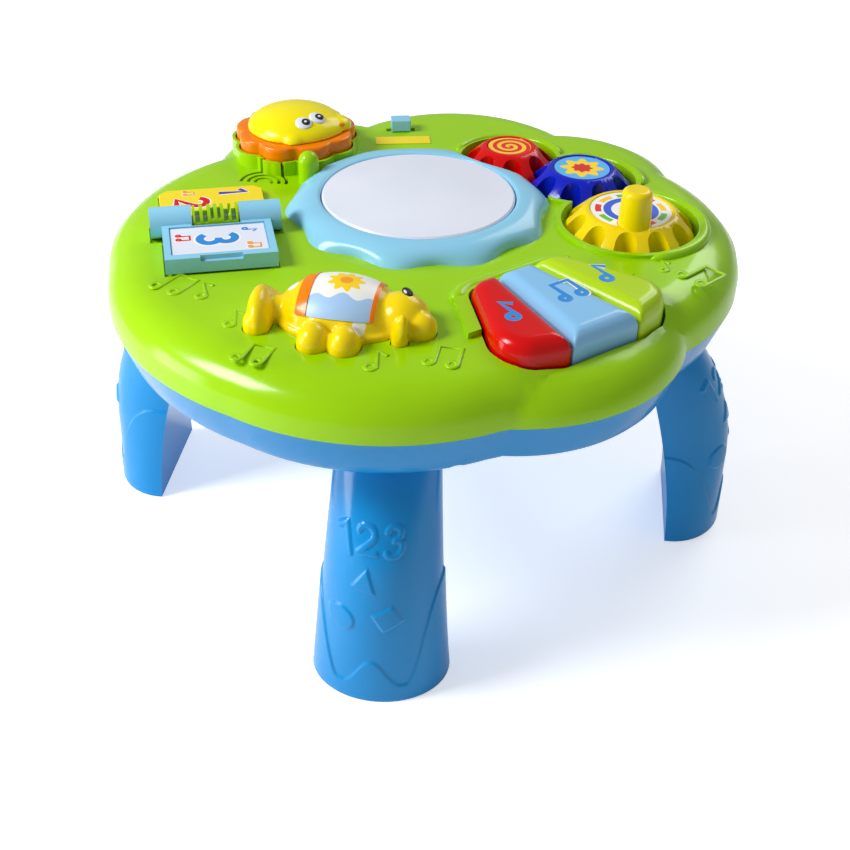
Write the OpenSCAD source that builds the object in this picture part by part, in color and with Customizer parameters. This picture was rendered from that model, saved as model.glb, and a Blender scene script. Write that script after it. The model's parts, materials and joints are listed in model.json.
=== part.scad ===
/* [Table] */
// Height of the flat play surface above the floor
top_z = 159; // [154:1:164]
// Height of the seam between the green top and the blue base
seam_z = 138; // [136:1:140]
// Height of the underside of the base
base_z = 119; // [114:1:121]
// Wall of the moulded shells
wall = 2.5; // [2:0.1:3]
// Width of the rounded shoulder round the play surface
shoulder_w = 20; // [16:1:24]
// Height of the rounded shoulder
shoulder_h = 14.5; // [12:0.5:15.5]
// How far the base draws in from the seam down to its underside
skirt_draw = 6; // [4:0.5:8]
// Clearance between pieces that lie or slide beside each other
gap = 0.4; // [0.3:0.05:0.6]
/* [Legs] */
// Reach of each foot from the middle of the table
foot_reach = 157; // [152:1:162]
// Half width of a foot
foot_half_w = 30; // [27:0.5:32]
// Half width of a leg under the base
leg_top_half_w = 21.5; // [20:0.5:24]
// Wall of a leg
leg_wall = 2.6; // [2.2:0.1:3.2]
// Height of the neck that plugs into the base
neck_h = 13; // [10:1:14]
// Height of the relief figures and of the cuff
relief_h = 0.8; // [0.5:0.1:1.2]
/* [Drum] */
// Radius of the drum skin
pad_r = 45; // [42:0.5:47]
// Radius of the drum rim where it meets the table
drum_r = 60; // [57:0.5:61]
// How far the scallops of the drum rim swell
scallop = 2.2; // [1:0.1:3]
// Number of scallops
scallops = 10; // [8:1:12]
// Height of the drum rim above the play surface
drum_h = 7; // [5:0.5:9]
// How far the drum skin travels
drum_travel = 2; // [1.5:0.1:2.5]
/* [Gears] */
// Gear module, the pitch diameter over the number of teeth
module_mm = 4.9; // [4.7:0.05:5]
// Teeth of the yellow gear
yellow_teeth = 11; // [11:1:11]
// Teeth of the blue gear
blue_teeth = 9; // [9:1:9]
// Teeth of the red gear
red_teeth = 8; // [8:1:8]
// Height of a tooth above the pitch circle
addendum = 3.3; // [2.8:0.1:3.4]
// Depth of the tray that the gears turn in
tray_depth = 7; // [6:0.5:8]
// Height of a gear from the tray to its label
gear_h = 14.5; // [12:0.5:16]
// Radius of the posts that the gears turn on
post_r = 4; // [3.5:0.1:4.5]
// Radial play of a gear on its post
post_play = 0.1; // [0.05:0.01:0.15]
// Radius of the crank knob on the yellow gear
knob_r = 6.8; // [6:0.1:7.5]
// Height of the crank knob above the label
knob_h = 16.5; // [14:0.5:20]
/* [Keys] */
// Length of the keyboard from its hinge side to its front
bank_l = 58; // [56:1:60]
// Half width of the keyboard at its widest
bank_half_w = 42; // [40:0.5:43]
// Half width of the middle key at the hinge side
middle_back = 9.5; // [8.5:0.5:10.5]
// Half width of the middle key at the front
middle_front = 17.5; // [16:0.5:19]
// Height of the key tops above the play surface
key_rise = 8.5; // [7:0.5:10]
// Height of a key from its underside to its top
key_h = 17; // [16:0.5:18]
// Radius of the rod that the keys tip on
rod_r = 1.5; // [1.2:0.1:1.8]
/* [Book] */
// Width of the page and of the leaf
page_w = 48; // [44:1:50]
// Length of the page and the leaf from the hinge
page_l = 39; // [36:1:41]
// Thickness of the leaf
leaf_t = 7; // [6:0.5:8]
// Radius of the hinge knuckles
knuckle_r = 7; // [6.5:0.1:7.5]
// Length of each end knuckle
knuckle_l = 18.5; // [17:0.5:20]
// Radius of the hinge pin
pin_r = 2; // [1.6:0.1:2.4]
/* [Lion] */
// Radius of the mane
mane_r = 30.5; // [28:0.5:31]
// Height of the pedestal above the play surface
pedestal_h = 7; // [6:0.5:9]
// Thickness of the mane
mane_h = 8.8; // [8:0.2:11]
// Height of the face above the mane
face_h = 10.3; // [9:0.1:12]
// How far the lion presses down
lion_travel = 2; // [1.5:0.1:2.5]
/* [Fawn] */
// Height of the fawn's back above the play surface
fawn_h = 15; // [12:0.5:17]
// How far the fawn presses down
fawn_travel = 2.5; // [2:0.1:3]
/* [Switch] */
// How far the switch slides each way
switch_travel = 4; // [3:0.5:5]
/* [Hidden] */
green = [0.55, 0.80, 0.05];
sky = [0.25, 0.60, 0.90];
pale_blue = [0.55, 0.80, 0.95];
yellow = [1.0, 0.86, 0.05];
orange = [0.95, 0.45, 0.05];
red = [0.85, 0.03, 0.03];
steel = [0.75, 0.76, 0.78];
round_fn = 72;
small_fn = 32;

// Lobes of the cloud-shaped outline: direction, distance of the centre, radius, drop of the top.
LOBES = [[-99, 57, 103, 0], [-108, 32, 126, 0], [-55, 78, 77, 3.5], [-5, 38, 109, 0],
  [42, 87, 56, 0], [81, 66, 71, 0], [135, 78, 57, 0], [209, 37, 108, 0]];
function spot(a, d) = [d * cos(a), d * sin(a), 0];
function lobe_at(l) = spot(l[0], l[1]);

// Ribs and laps of the two shells.
lap_h = 3;
lap_t = 1.4;
base_wall = wall + lap_t;
ceiling = top_z - wall;
floor_z = base_z + wall;

// Case screws go up through the base into posts of the top.
CASE_POSTS = [[120, -45], [114, 50], [38, 106], [-48, 94], [-105, 33], [-84, -104],
  [-52, -136], [30, -140]];
post_outer = 4;
shell_h = top_z - seam_z;
post_hole = 8;
screw_r = 1.5;
screw_head_r = 3;

// Gears: the yellow one is the driver of the layout and the others follow it round the tray.
yellow_at = [96, 1];
yellow_pitch = module_mm * yellow_teeth / 2;
blue_pitch = module_mm * blue_teeth / 2;
red_pitch = module_mm * red_teeth / 2;
to_blue = 118;
to_red = 151;
blue_at = yellow_at + (yellow_pitch + blue_pitch) * [cos(to_blue), sin(to_blue)];
red_at = blue_at + (blue_pitch + red_pitch) * [cos(to_red), sin(to_red)];
// A gap of the blue gear faces a tooth of the yellow one, and a gap of the red one a blue tooth.
yellow_phase = to_blue;
blue_phase = to_blue + 180 + 180 / blue_teeth;
blue_step = 360 / blue_teeth;
blue_lead = blue_phase + blue_step * round((to_red - blue_phase) / blue_step) - to_red;
red_phase = to_red + 180 + 180 / red_teeth - blue_lead * blue_teeth / red_teeth;
tray_z = top_z - tray_depth;
tray_play = 1.2;
tray_border = 2.5;
gear_z = tray_z + gap;
gear_top = tray_z + gear_h;
label_t = 0.4;
label_seat = 0.8;
post_h = gear_h - 4;
washer_r = 5.6;
washer_t = 0.8;
hub_wall = 2.4;
knob_at = 14;

// Drum.
drum_at = [-2, 4];
drum_hole_r = 38;
drum_steps = 6;
drum_n = 80;

// Keys: the keyboard has its own directions, u across and w towards the front.
bank_at = [47, -62];
bank_turn = -48 - 90;
key_top = top_z + key_rise;
key_z = key_top - key_h;
key_gap = 0.8;
well_gap = 1.2;
well_z = key_z - 4;
rod_z = key_z + 5;
rod_w = 5;
rod_half = 29.4;
rod_play = 0.08;
key_tip = 3;
key_wall = 2.2;
plunger_w = 40;
bank_wall = 2;
// The raised welt behind the keys: its width, and how far it runs forwards.
welt_w = 6;
welt_l = 26;

// Book: its own directions are u along the hinge and w towards the reader.
hinge_at = [-89, -34];
book_turn = 18;
hinge_z = top_z + knuckle_r - 1;
book_sink = 1.4;
sticker_t = 0.4;
cover_half = 10;

// Lion, fawn, switch and speaker.
lion_at = [-70.5, 59.5];
lion_turn = -19;
fawn_at = [-20, -104];
fawn_turn = -4;
fawn_wide = 19.7;
fawn_eye_at = [25, 6];
fawn_eye_r = 2;
tail_r = 5.5;
head_r = 12;
foot_r = 6.5;
ear_r = 3.5;
switch_at = [-22, 94];
switch_turn = 12;
tuft_at = [-57.5, 24];
tuft_r = 5;
tuft_h = 13;
speaker_at = [-79, 20];
speaker_r = 14;
speaker_h = 7;
speaker_ring = 1.6;

// Circuit boards hang from posts of the top shell, with soft contact domes on them.
board_t = 1.6;
board_post_r = 3;
board_screw_l = 6;
board_hole = 6.5;
board_x = 42;
board_y = 17;
board_z = seam_z + 1.5;
dome_h = 3;
dome_r = 4;
contact_z = board_z + board_t + dome_h;

// Battery box in the base: three penlight cells.
cell_r = 7.1;
cell_l = 50.5;
cell_gap = 0.5;
box_w = 6 * cell_r + 4 * cell_gap;
box_l = cell_l + 7;
box_wall = 1.8;
door_t = 2;
door_lap = 7;
door_screw_at = [0, box_l / 2 + 3.4];
cell_z = base_z + door_t + cell_r + 0.6;
box_top = cell_z + cell_r + 0.6;

module at_lobe(l) {
  translate(lobe_at(l)) children();
}

// One lobe of the play surface: a solid of revolution with a rounded shoulder.
module lobe(l) {
  r = l[2];
  z = top_z - l[3];
  arc = [for (a = [0:22.5:90]) [r - shoulder_w * (1 - cos(a)), z - shoulder_h * (1 - sin(a))]];
  at_lobe(l)
    rotate_extrude($fn = round_fn)
      polygon(concat([[0, seam_z], [r, seam_z]], arc, [[0, z]]));
}

// The hollow under a lobe is upright past the base's lip, then follows the lobe in two slopes.
module hollow_lobe(l) {
  r = l[2] - wall;
  z = ceiling - l[3];
  upright = max(z - shoulder_h + 1, seam_z + lap_h + gap);
  at_lobe(l)
    rotate_extrude($fn = round_fn)
      polygon([[0, seam_z - 1], [r, seam_z - 1], [r, upright],
        [r - shoulder_w * 0.32, z - shoulder_h * 0.29], [r - shoulder_w * 0.92, z], [0, z]]);
}

module outline(grow, low, high) {
  for (l = LOBES)
    at_lobe(l)
      translate([0, 0, low])
        cylinder(h = high - low, r = l[2] + grow, $fn = round_fn);
}

module tube(h, outer, inner) {
  difference() {
    cylinder(h = h, r = outer, $fn = round_fn);
    translate([0, 0, -1])
      cylinder(h = h + 2, r = inner, $fn = round_fn);
  }
}

module in_bank() {
  translate([bank_at[0], bank_at[1], 0])
    rotate([0, 0, bank_turn])
      mirror([1, 0, 0])
        children();
}

module in_book() {
  translate([hinge_at[0], hinge_at[1], 0])
    rotate([0, 0, book_turn])
      children();
}

module at_xy(p, z = 0) {
  translate([p[0], p[1], z]) children();
}

// Plan of the keyboard: a fan with round corners.
module bank_plan(grow) {
  hull() {
    for (s = [-1, 1]) {
      translate([s * 18, 8])
        circle(r = 9 + grow, $fn = small_fn);
      translate([s * (bank_half_w - 14), bank_l - 17])
        circle(r = 14 + grow, $fn = small_fn);
      translate([s * 18, bank_l - 16])
        circle(r = 16 + grow, $fn = small_fn);
    }
  }
}

// Plan of one key: 0 is the red one, 1 the blue middle one and 2 the green one.
module key_plan(i, inset) {
  far = bank_l + 20;
  spread = (middle_front - middle_back) / bank_l;
  edge0 = middle_back;
  edge1 = middle_back + spread * far;
  half = key_gap / 2 + inset;
  intersection() {
    bank_plan(-inset);
    if (i == 1)
      polygon([[-edge0 + half, -20], [edge0 - half, -20], [edge0 - half, 0],
        [edge1 - half, far], [-edge1 + half, far], [-edge0 + half, 0]]);
    if (i == 0)
      polygon([[-edge0 - half, -20], [-edge0 - half, 0], [-edge1 - half, far],
        [-80, far], [-80, -20]]);
    if (i == 2)
      polygon([[edge0 + half, -20], [edge0 + half, 0], [edge1 + half, far],
        [80, far], [80, -20]]);
  }
}

module key_layer(i, inset, low, high) {
  translate([0, 0, low])
    linear_extrude(height = high - low)
      key_plan(i, inset);
}

module key(i) {
  centre = [-27, 0, 27];
  fall = plunger_w * tan(key_tip);
  difference() {
    hull() {
      key_layer(i, 0, key_z, key_top - 6);
      key_layer(i, 1.2, key_z, key_top - 2.5);
      key_layer(i, 3, key_z, key_top - 0.8);
      key_layer(i, 5.5, key_z, key_top);
    }
    // the hollow underside, in front of the web round the rod
    intersection() {
      key_layer(i, key_wall, key_z - 1, key_top - key_wall - 1);
      translate([-60, rod_w + 5, key_z - 2])
        cube([120, bank_l, key_h + 4]);
    }
    translate([-60, rod_w, rod_z])
      rotate([0, 90, 0])
        cylinder(h = 120, r = rod_r + rod_play, $fn = small_fn);
  }
  at_xy([centre[i], plunger_w], contact_z + fall + 0.3)
    cylinder(h = key_top - 2 - contact_z - fall, r = 2.5, $fn = small_fn);
}

module red_key() {
  color(red)
    in_bank()
      key(0);
}

module blue_key() {
  color(pale_blue)
    in_bank()
      key(1);
}

module green_key() {
  color([0.72, 0.86, 0.15])
    in_bank()
      key(2);
}

module key_rod() {
  color(steel)
    in_bank()
      translate([-rod_half, rod_w, rod_z])
        rotate([0, 90, 0])
          cylinder(h = 2 * rod_half, r = rod_r, $fn = small_fn);
}

// Gears.
module gear_plan(teeth, phase, extra = 0) {
  pitch = module_mm * teeth / 2;
  root_c = pitch - addendum + 2.8;
  difference() {
    circle(r = pitch + addendum, $fn = round_fn);
    for (i = [0:teeth - 1])
      rotate(phase + (i + 0.5) * 360 / teeth) {
        translate([root_c, 0])
          circle(r = 4.8, $fn = small_fn);
        polygon([[root_c, -4.8], [root_c + 12, -6.6], [root_c + 12, 6.6], [root_c, 4.8]]);
      }
  }
}

function label_r(teeth) = module_mm * teeth / 2 - 8.6 + (teeth - 8) * 0.1;

module gear_form(teeth) {
  tip = module_mm * teeth / 2 + addendum;
  rim = label_r(teeth) + 1.6;
  z0 = gear_z;
  rotate_extrude($fn = round_fn)
    polygon([[0, z0], [tip, z0], [tip, z0 + 3.5], [tip - 2, z0 + 7], [rim + 3, gear_top - 2.2],
      [rim, gear_top], [rim - 1.2, gear_top], [rim - 1.6, gear_top - label_seat],
      [0, gear_top - label_seat]]);
}

module gear(at, teeth, phase) {
  root = module_mm * teeth / 2 - addendum - 2.5;
  at_xy(at)
    difference() {
      intersection() {
        gear_form(teeth);
        translate([0, 0, gear_z - 1])
          linear_extrude(height = gear_h + 2)
            gear_plan(teeth, phase);
      }
      // the hollow underside, round the hub
      translate([0, 0, gear_z - 1])
        tube(gear_h - 5, root - 1.5, post_r + hub_wall);
      translate([0, 0, gear_z - 1])
        cylinder(h = gear_h, r = post_r + post_play, $fn = round_fn);
      // the counterbore for the washer that keeps the gear down
      translate([0, 0, tray_z + post_h - gap])
        cylinder(h = gear_h, r = washer_r + 0.5, $fn = round_fn);
    }
}

module yellow_gear() {
  color(yellow) {
    gear(yellow_at, yellow_teeth, yellow_phase);
    at_xy(yellow_at + knob_at * [cos(-85), sin(-85)], gear_top - 2) {
      cylinder(h = knob_h + 2 - 2.5, r1 = knob_r + 0.7, r2 = knob_r, $fn = small_fn);
      translate([0, 0, knob_h - 0.5])
        rotate_extrude($fn = small_fn)
          polygon(concat([[0, 0]], [for (a = [0:18:90])
            [knob_r - 2.5 + 2.5 * cos(a), 2.5 * sin(a)]], [[0, 2.5]]));
    }
  }
}

module blue_gear() {
  color([0.05, 0.15, 0.80])
    gear(blue_at, blue_teeth, blue_phase);
}

module red_gear() {
  color(red)
    gear(red_at, red_teeth, red_phase);
}

module label(at, teeth) {
  at_xy(at, gear_top - label_seat)
    cylinder(h = label_t, r = label_r(teeth) - 0.2, $fn = round_fn);
}

module yellow_gear_label() {
  color("white")
    difference() {
      label(yellow_at, yellow_teeth);
      at_xy(yellow_at + knob_at * [cos(-85), sin(-85)], gear_top - 3)
        cylinder(h = 6, r = knob_r + 1, $fn = round_fn);
    }
}

module blue_gear_label() {
  color([0.4, 0.75, 0.95])
    label(blue_at, blue_teeth);
}

module red_gear_label() {
  color(yellow)
    label(red_at, red_teeth);
}

module gear_screws() {
  color(steel)
    for (p = [yellow_at, blue_at, red_at])
      at_xy(p, tray_z + post_h) {
        cylinder(h = washer_t, r = washer_r, $fn = round_fn);
        translate([0, 0, washer_t])
          cylinder(h = 1.2, r = screw_head_r, $fn = small_fn);
        translate([0, 0, -6])
          cylinder(h = 7, r = screw_r, $fn = small_fn);
      }
}

// Drum rim: scallops at the foot that fade out towards the skin.
function drum_ring(t, n) = [for (i = [0:n - 1])
  let (a = 360 * i / n,
    swell = -scallop * (1 - t) * cos(scallops * (a + 148)),
    r = (drum_r + swell) * (1 - t) + (pad_r + 2) * t + 5 * sin(180 * t) * 0.55)
  [r * cos(a), r * sin(a)]];

function loft_faces(n, m) = concat(
  [[for (i = [0:n - 1]) i]],
  [for (k = [0:m - 2]) for (i = [0:n - 1])
    [(k + 1) * n + i, (k + 1) * n + (i + 1) % n, k * n + (i + 1) % n, k * n + i]],
  [[for (i = [n - 1:-1:0]) (m - 1) * n + i]]);

module loft(rings, heights) {
  n = len(rings[0]);
  points = [for (k = [0:len(rings) - 1]) for (p = rings[k]) [p[0], p[1], heights[k]]];
  polyhedron(points, loft_faces(n, len(rings)), convexity = 6);
}

module drum_rim() {
  steps = [for (k = [0:drum_steps]) k / drum_steps];
  color(pale_blue)
    at_xy(drum_at)
      difference() {
        loft([for (t = steps) drum_ring(t, drum_n)],
          [for (t = steps) top_z + drum_h * sin(90 * t)]);
        translate([0, 0, top_z - 1])
          cylinder(h = drum_h + 4, r = pad_r + gap, $fn = round_fn);
        // bites for the gears, the lion and the tuft beside it
        translate([-drum_at[0], -drum_at[1], top_z - 1]) {
          linear_extrude(height = drum_h + 4)
            tray_plan(tray_play);
          at_xy(lion_at)
            cylinder(h = drum_h + 4, r = mane_r + 2 + gap, $fn = round_fn);
          at_xy(tuft_at)
            cylinder(h = drum_h + 4, r = tuft_r + gap, $fn = small_fn);
        }
      }
}

module drum_pad() {
  skin_z = top_z + drum_h;
  under = skin_z - 4;
  low = ceiling - gap - 1.5;
  color([0.93, 0.95, 1.0])
    at_xy(drum_at) {
      difference() {
        rotate_extrude($fn = round_fn)
          polygon([[0, under], [pad_r, under], [pad_r, skin_z - 0.8], [pad_r - 0.8, skin_z],
            [pad_r * 0.6, skin_z + 0.9], [pad_r * 0.3, skin_z + 1.3], [0, skin_z + 1.4]]);
        translate([0, 0, under - 1])
          cylinder(h = 3, r = drum_hole_r - 2.6, $fn = round_fn);
      }
      // the skirt that guides the skin through the shell
      translate([0, 0, low])
        tube(under + 1 - low, drum_hole_r - 0.6, drum_hole_r - 2.6);
      // the hooks that hold it in
      intersection() {
        translate([0, 0, low])
          tube(1.5, drum_hole_r + 1.6, drum_hole_r - 2.6);
        for (a = [45, 135])
          rotate([0, 0, a])
            translate([-60, -6, low - 1])
              cube([120, 12, 5]);
      }
      translate([0, 0, contact_z + drum_travel + 0.3])
        cylinder(h = skin_z - 1 - contact_z - drum_travel, r = 5, $fn = small_fn);
    }
}

// Book: the page is fixed, the leaf turns over it on the pin.
module book_page() {
  color(yellow)
    in_book()
      difference() {
        translate([-page_w / 2, knuckle_r + gap, top_z - book_sink])
          cube([page_w, page_l - knuckle_r - gap, 3 + book_sink]);
        for (s = [-1, 1])
          translate([s * page_w / 2, page_l, top_z - book_sink - 1])
            rotate([0, 0, 45])
              cube([5, 5, 12], center = true);
      }
}

module knuckle(from, l, outer) {
  translate([from, 0, hinge_z])
    rotate([0, 90, 0])
      cylinder(h = l, r = outer, $fn = round_fn);
}

module book_leaf() {
  leaf_z = top_z + 0.6;
  color(pale_blue)
    in_book()
      difference() {
        union() {
          for (s = [-1, 1])
            translate([s * (29 - knuckle_l / 2), 0, 0])
              knuckle(-knuckle_l / 2, knuckle_l, knuckle_r);
          difference() {
            translate([-page_w / 2, -page_l, leaf_z])
              cube([page_w, page_l, leaf_t]);
            // the sunken field for the sticker
            translate([-page_w / 2 + 3, -page_l + 4, leaf_z + leaf_t - 1])
              cube([page_w - 6, page_l - knuckle_r - 6, 3]);
            // room for the hinge cover between the knuckles
            translate([-29 + knuckle_l - gap, -knuckle_r - 1.5, leaf_z - 1])
              cube([58 - 2 * knuckle_l + 2 * gap, 20, 20]);
            // the thumb notch in the front edge
            translate([-9, -page_l - 1, leaf_z + leaf_t - 2])
              cube([18, 3, 4]);
          }
        }
        knuckle(-40, 80, pin_r + 0.05);
      }
}

module leaf_sticker() {
  color("white")
    in_book()
      translate([-page_w / 2 + 3.5, -page_l + 4.5, top_z + 0.6 + leaf_t - 1])
        cube([page_w - 7, page_l - knuckle_r - 7, sticker_t]);
}

module hinge_pin() {
  color(steel)
    in_book()
      knuckle(-28, 56, pin_r);
}

module hinge_cover() {
  color([0.65, 0.85, 0.1])
    in_book()
      difference() {
        union() {
          knuckle(-cover_half, 2 * cover_half, knuckle_r - 0.3);
          translate([-cover_half, -knuckle_r + 1, top_z - book_sink])
            cube([2 * cover_half, 2 * knuckle_r - 2, knuckle_r - 1]);
        }
        knuckle(-cover_half - 1, 2 * cover_half + 2, pin_r + 0.05);
        for (x = [-8, -4.6, 4.6, 8])
          translate([x - 1, -knuckle_r - 1, hinge_z + 1.5])
            cube([2, 2 * knuckle_r + 2, knuckle_r]);
        for (x = [-1.5, 1.5])
          translate([x - 0.7, -knuckle_r - 1, hinge_z + 2.8])
            cube([1.4, 2 * knuckle_r + 2, knuckle_r]);
      }
}

// Lion: the mane's petals slide in a pocket of the same plan in the pedestal.
petals = 9;
petal_r = 11;
mane_round = 3;
pocket_depth = 5;
mane_z = top_z + pedestal_h - pocket_depth + lion_travel + gap;
mane_top = mane_z + mane_h;
face_r = 24;
face_seat_r = 21;
muzzle_turn = 24;
LION_EYES = [[11.2, -11.4], [14.4, -3.6]];
lion_eye_r = 2.9;

module in_lion() {
  at_xy(lion_at)
    rotate([0, 0, lion_turn])
      children();
}

module petal_plan(grow) {
  circle(r = mane_r - 4, $fn = round_fn);
  for (i = [0:petals - 1])
    rotate(i * 360 / petals)
      translate([mane_r - petal_r, 0])
        circle(r = petal_r + grow, $fn = small_fn);
}

module pedestal() {
  in_lion()
    translate([0, 0, ceiling])
      linear_extrude(height = pedestal_h + wall)
        petal_plan(2);
}

module pedestal_pocket() {
  in_lion()
    translate([0, 0, top_z + pedestal_h - pocket_depth])
      linear_extrude(height = 20)
        petal_plan(gap);
}

module lion_mane() {
  shoulder = [for (a = [0:22.5:90])
    [mane_r + 1 - mane_round * (1 - cos(a)), mane_top - mane_round * (1 - sin(a))]];
  color(orange)
    in_lion() {
      difference() {
        intersection() {
          translate([0, 0, mane_z])
            linear_extrude(height = mane_top - mane_z)
              petal_plan(0);
          rotate_extrude($fn = round_fn)
            polygon(concat([[0, mane_z - 1], [mane_r + 1, mane_z - 1]], shoulder, [[0, mane_top]]));
        }
        translate([0, 0, mane_top - 2])
          cylinder(h = 5, r = face_seat_r, $fn = round_fn);
      }
      translate([0, 0, contact_z + lion_travel + 0.3])
        cylinder(h = mane_z - contact_z - lion_travel, r = 5, $fn = small_fn);
    }
}

// A low egg on the mane: distance towards a direction, half width, half height.
module face_egg(turn, d, half, high, z = 0) {
  rotate(turn)
    translate([d, 0, mane_top + z])
      scale([half, half, high] / 10)
        sphere(r = 10, $fn = 48);
}

module lion_face() {
  color(yellow)
    in_lion() {
      translate([0, 0, mane_top - 2])
        cylinder(h = 3, r = face_seat_r - 0.2, $fn = round_fn);
      difference() {
        union() {
          face_egg(0, 0, face_r, face_h);
          face_egg(muzzle_turn, 6, 19.5, face_h - 1.3);
          face_egg(muzzle_turn, 20.5, 7.5, 5, 1);
          // the two round ears
          for (a = [-87, 87])
            face_egg(muzzle_turn + a, 18.6, 7, 5);
        }
        translate([-40, -40, mane_top - 20])
          cube([80, 80, 20]);
        lion_eye_pair(0.05);
      }
    }
}

module lion_eye_pair(play) {
  for (p = LION_EYES)
    at_xy(p, mane_top + face_h - 4)
      cylinder(h = 3, r = lion_eye_r + play, $fn = small_fn);
}

module lion_eyes() {
  color("white")
    in_lion()
      lion_eye_pair(0);
}

// Fawn lying on its side: one press button in a shaped opening.
module fawn_plan(grow) {
  // body
  hull() {
    translate([-8.5, 3])
      circle(r = fawn_wide + grow, $fn = round_fn);
    translate([6.5, 3])
      circle(r = fawn_wide + grow, $fn = round_fn);
  }
  // tail and its root
  hull() {
    translate([-32, -13])
      circle(r = tail_r + grow, $fn = small_fn);
    translate([-32, 5])
      circle(r = tail_r + grow, $fn = small_fn);
  }
  translate([-30, -4 - grow])
    square([10, 7 + 2 * grow]);
  // head, muzzle and ear
  translate([24, 2])
    circle(r = head_r + grow, $fn = small_fn);
  translate([32.5, -3])
    circle(r = foot_r + grow, $fn = small_fn);
  translate([26, -12])
    circle(r = ear_r + grow, $fn = small_fn);
  // front and hind foot
  for (x = [-7, 5.5])
    translate([x, -21])
      circle(r = foot_r + grow, $fn = small_fn);
  translate([-7 - foot_r - grow, -21])
    square([12.5 + 2 * foot_r + 2 * grow, 12]);
}

module in_fawn() {
  at_xy(fawn_at)
    rotate([0, 0, fawn_turn])
      children();
}

module fawn_layer(grow, low, high) {
  translate([0, 0, low])
    linear_extrude(height = high - low)
      fawn_plan(grow);
}

module ball(x, y, z, r) {
  translate([x, y, top_z + z])
    sphere(r = r, $fn = small_fn);
}

module fawn_button() {
  low = ceiling - gap - 1.5;
  color(yellow)
    in_fawn()
      difference() {
        fawn_body(low);
        at_xy(fawn_eye_at, top_z + 10)
          cylinder(h = 8, r = fawn_eye_r + 0.05, $fn = small_fn);
      }
}

module fawn_body(low) {
  // the edge in the opening, and the flange that holds it in
  fawn_layer(0, low, top_z + 2.5);
  fawn_layer(1.6, low, low + 1.5);
  intersection() {
    fawn_back(0);
    translate([-40, -40, low])
      cube(80);
  }
  ball(24, 2, 1, head_r - 0.1);
  ball(32.5, -3, 2, foot_r - 0.1);
  translate([26, -12, top_z])
    cylinder(h = 11, r1 = ear_r - 0.1, r2 = ear_r - 1.8, $fn = small_fn);
  for (y = [-13, 5])
    ball(-32, y, 3, tail_r - 0.1);
  translate([-32, -13, top_z + 3])
    rotate([-90, 0, 0])
      cylinder(h = 18, r = tail_r - 0.1, $fn = small_fn);
  for (x = [-7, 5.5])
    ball(x, -21, 1.5, foot_r - 0.1);
  translate([0, 0, contact_z + fawn_travel + 0.3])
    cylinder(h = top_z - contact_z - fawn_travel, r = 5, $fn = small_fn);
}

module fawn_back(grow) {
  translate([-1, 3, top_z + 1.5])
    scale([26.5 + grow, 19.5 + grow, fawn_h + grow] / 10)
      sphere(r = 10, $fn = 48);
}

module fawn_wrap(from, to, thick) {
  difference() {
    intersection() {
      fawn_back(thick);
      translate([from, -30, top_z + 9])
        cube([to - from, 60, 20]);
    }
    fawn_back(0);
  }
}

module fawn_picture() {
  color("white")
    in_fawn()
      fawn_wrap(-10.8, 14.8, 0.5);
}

module fawn_band() {
  color(orange)
    in_fawn() {
      fawn_wrap(-16, -11, 1);
      fawn_wrap(15, 16.4, 1);
    }
}

module fawn_eye() {
  color("black")
    in_fawn()
      at_xy(fawn_eye_at, top_z + 10)
        cylinder(h = 3, r = fawn_eye_r, $fn = small_fn);
}

// Switch.
module in_switch() {
  at_xy(switch_at)
    rotate([0, 0, switch_turn])
      children();
}

module switch_slider() {
  color(pale_blue)
    in_switch() {
      translate([-5, -4, top_z + gap])
        cube([10, 8, 6]);
      translate([-3, -1.5, ceiling - 3])
        cube([6, 3, 8]);
      translate([-4, -3.2, ceiling - 5])
        cube([8, 6.4, 5 - 2 * gap]);
    }
}

module switch_label() {
  color(yellow)
    in_switch()
      translate([-14, -19, top_z])
        cube([28, 9, sticker_t]);
}

module speaker() {
  color([0.2, 0.2, 0.22])
    at_xy(speaker_at, ceiling - speaker_ring - speaker_h)
      difference() {
        union() {
          translate([0, 0, speaker_h - 2])
            cylinder(h = 2, r = speaker_r, $fn = round_fn);
          cylinder(h = speaker_h - 2, r1 = speaker_r * 0.55, r2 = speaker_r * 0.95, $fn = round_fn);
        }
        translate([0, 0, 2])
          cylinder(h = speaker_h, r1 = speaker_r * 0.3, r2 = speaker_r - 1.5, $fn = round_fn);
      }
}

module speaker_magnet() {
  color(steel)
    at_xy(speaker_at, ceiling - speaker_ring - speaker_h - 4)
      cylinder(h = 4, r = speaker_r * 0.5, $fn = round_fn);
}

// Boards.
module main_board() {
  color([0.1, 0.4, 0.15])
    at_xy(drum_at, board_z)
      difference() {
        translate([-board_x - 4, -board_y - 4, 0])
          cube([2 * board_x + 8, 2 * board_y + 8, board_t]);
        for (x = [-board_x, board_x])
          for (y = [-board_y, board_y])
            translate([x, y, -1])
              cylinder(h = 4, r = screw_r + 0.1, $fn = small_fn);
      }
}

module key_board() {
  color([0.1, 0.4, 0.15])
    in_bank()
      translate([-36, plunger_w - 9, board_z])
        difference() {
          cube([72, 18, board_t]);
          for (x = [-14, 14])
            translate([36 + x, 9, -1])
              cylinder(h = 4, r = screw_r + 0.1, $fn = small_fn);
        }
}

module button_board(half, low, high, posts) {
  difference() {
    translate([-half, low, board_z])
      cube([2 * half, high - low, board_t]);
    for (p = posts)
      at_xy(p, board_z - 1)
        cylinder(h = 4, r = screw_r + 0.1, $fn = small_fn);
  }
}

module button_boards() {
  color([0.1, 0.4, 0.15]) {
    at_xy(lion_at)
      button_board(12, -8, 8, [[-9, 0], [9, 0]]);
    in_fawn()
      button_board(24, -24, 32, FAWN_POSTS);
  }
}

module dome() {
  cylinder(h = dome_h, r1 = dome_r, r2 = dome_r - 1.2, $fn = small_fn);
}

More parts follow.
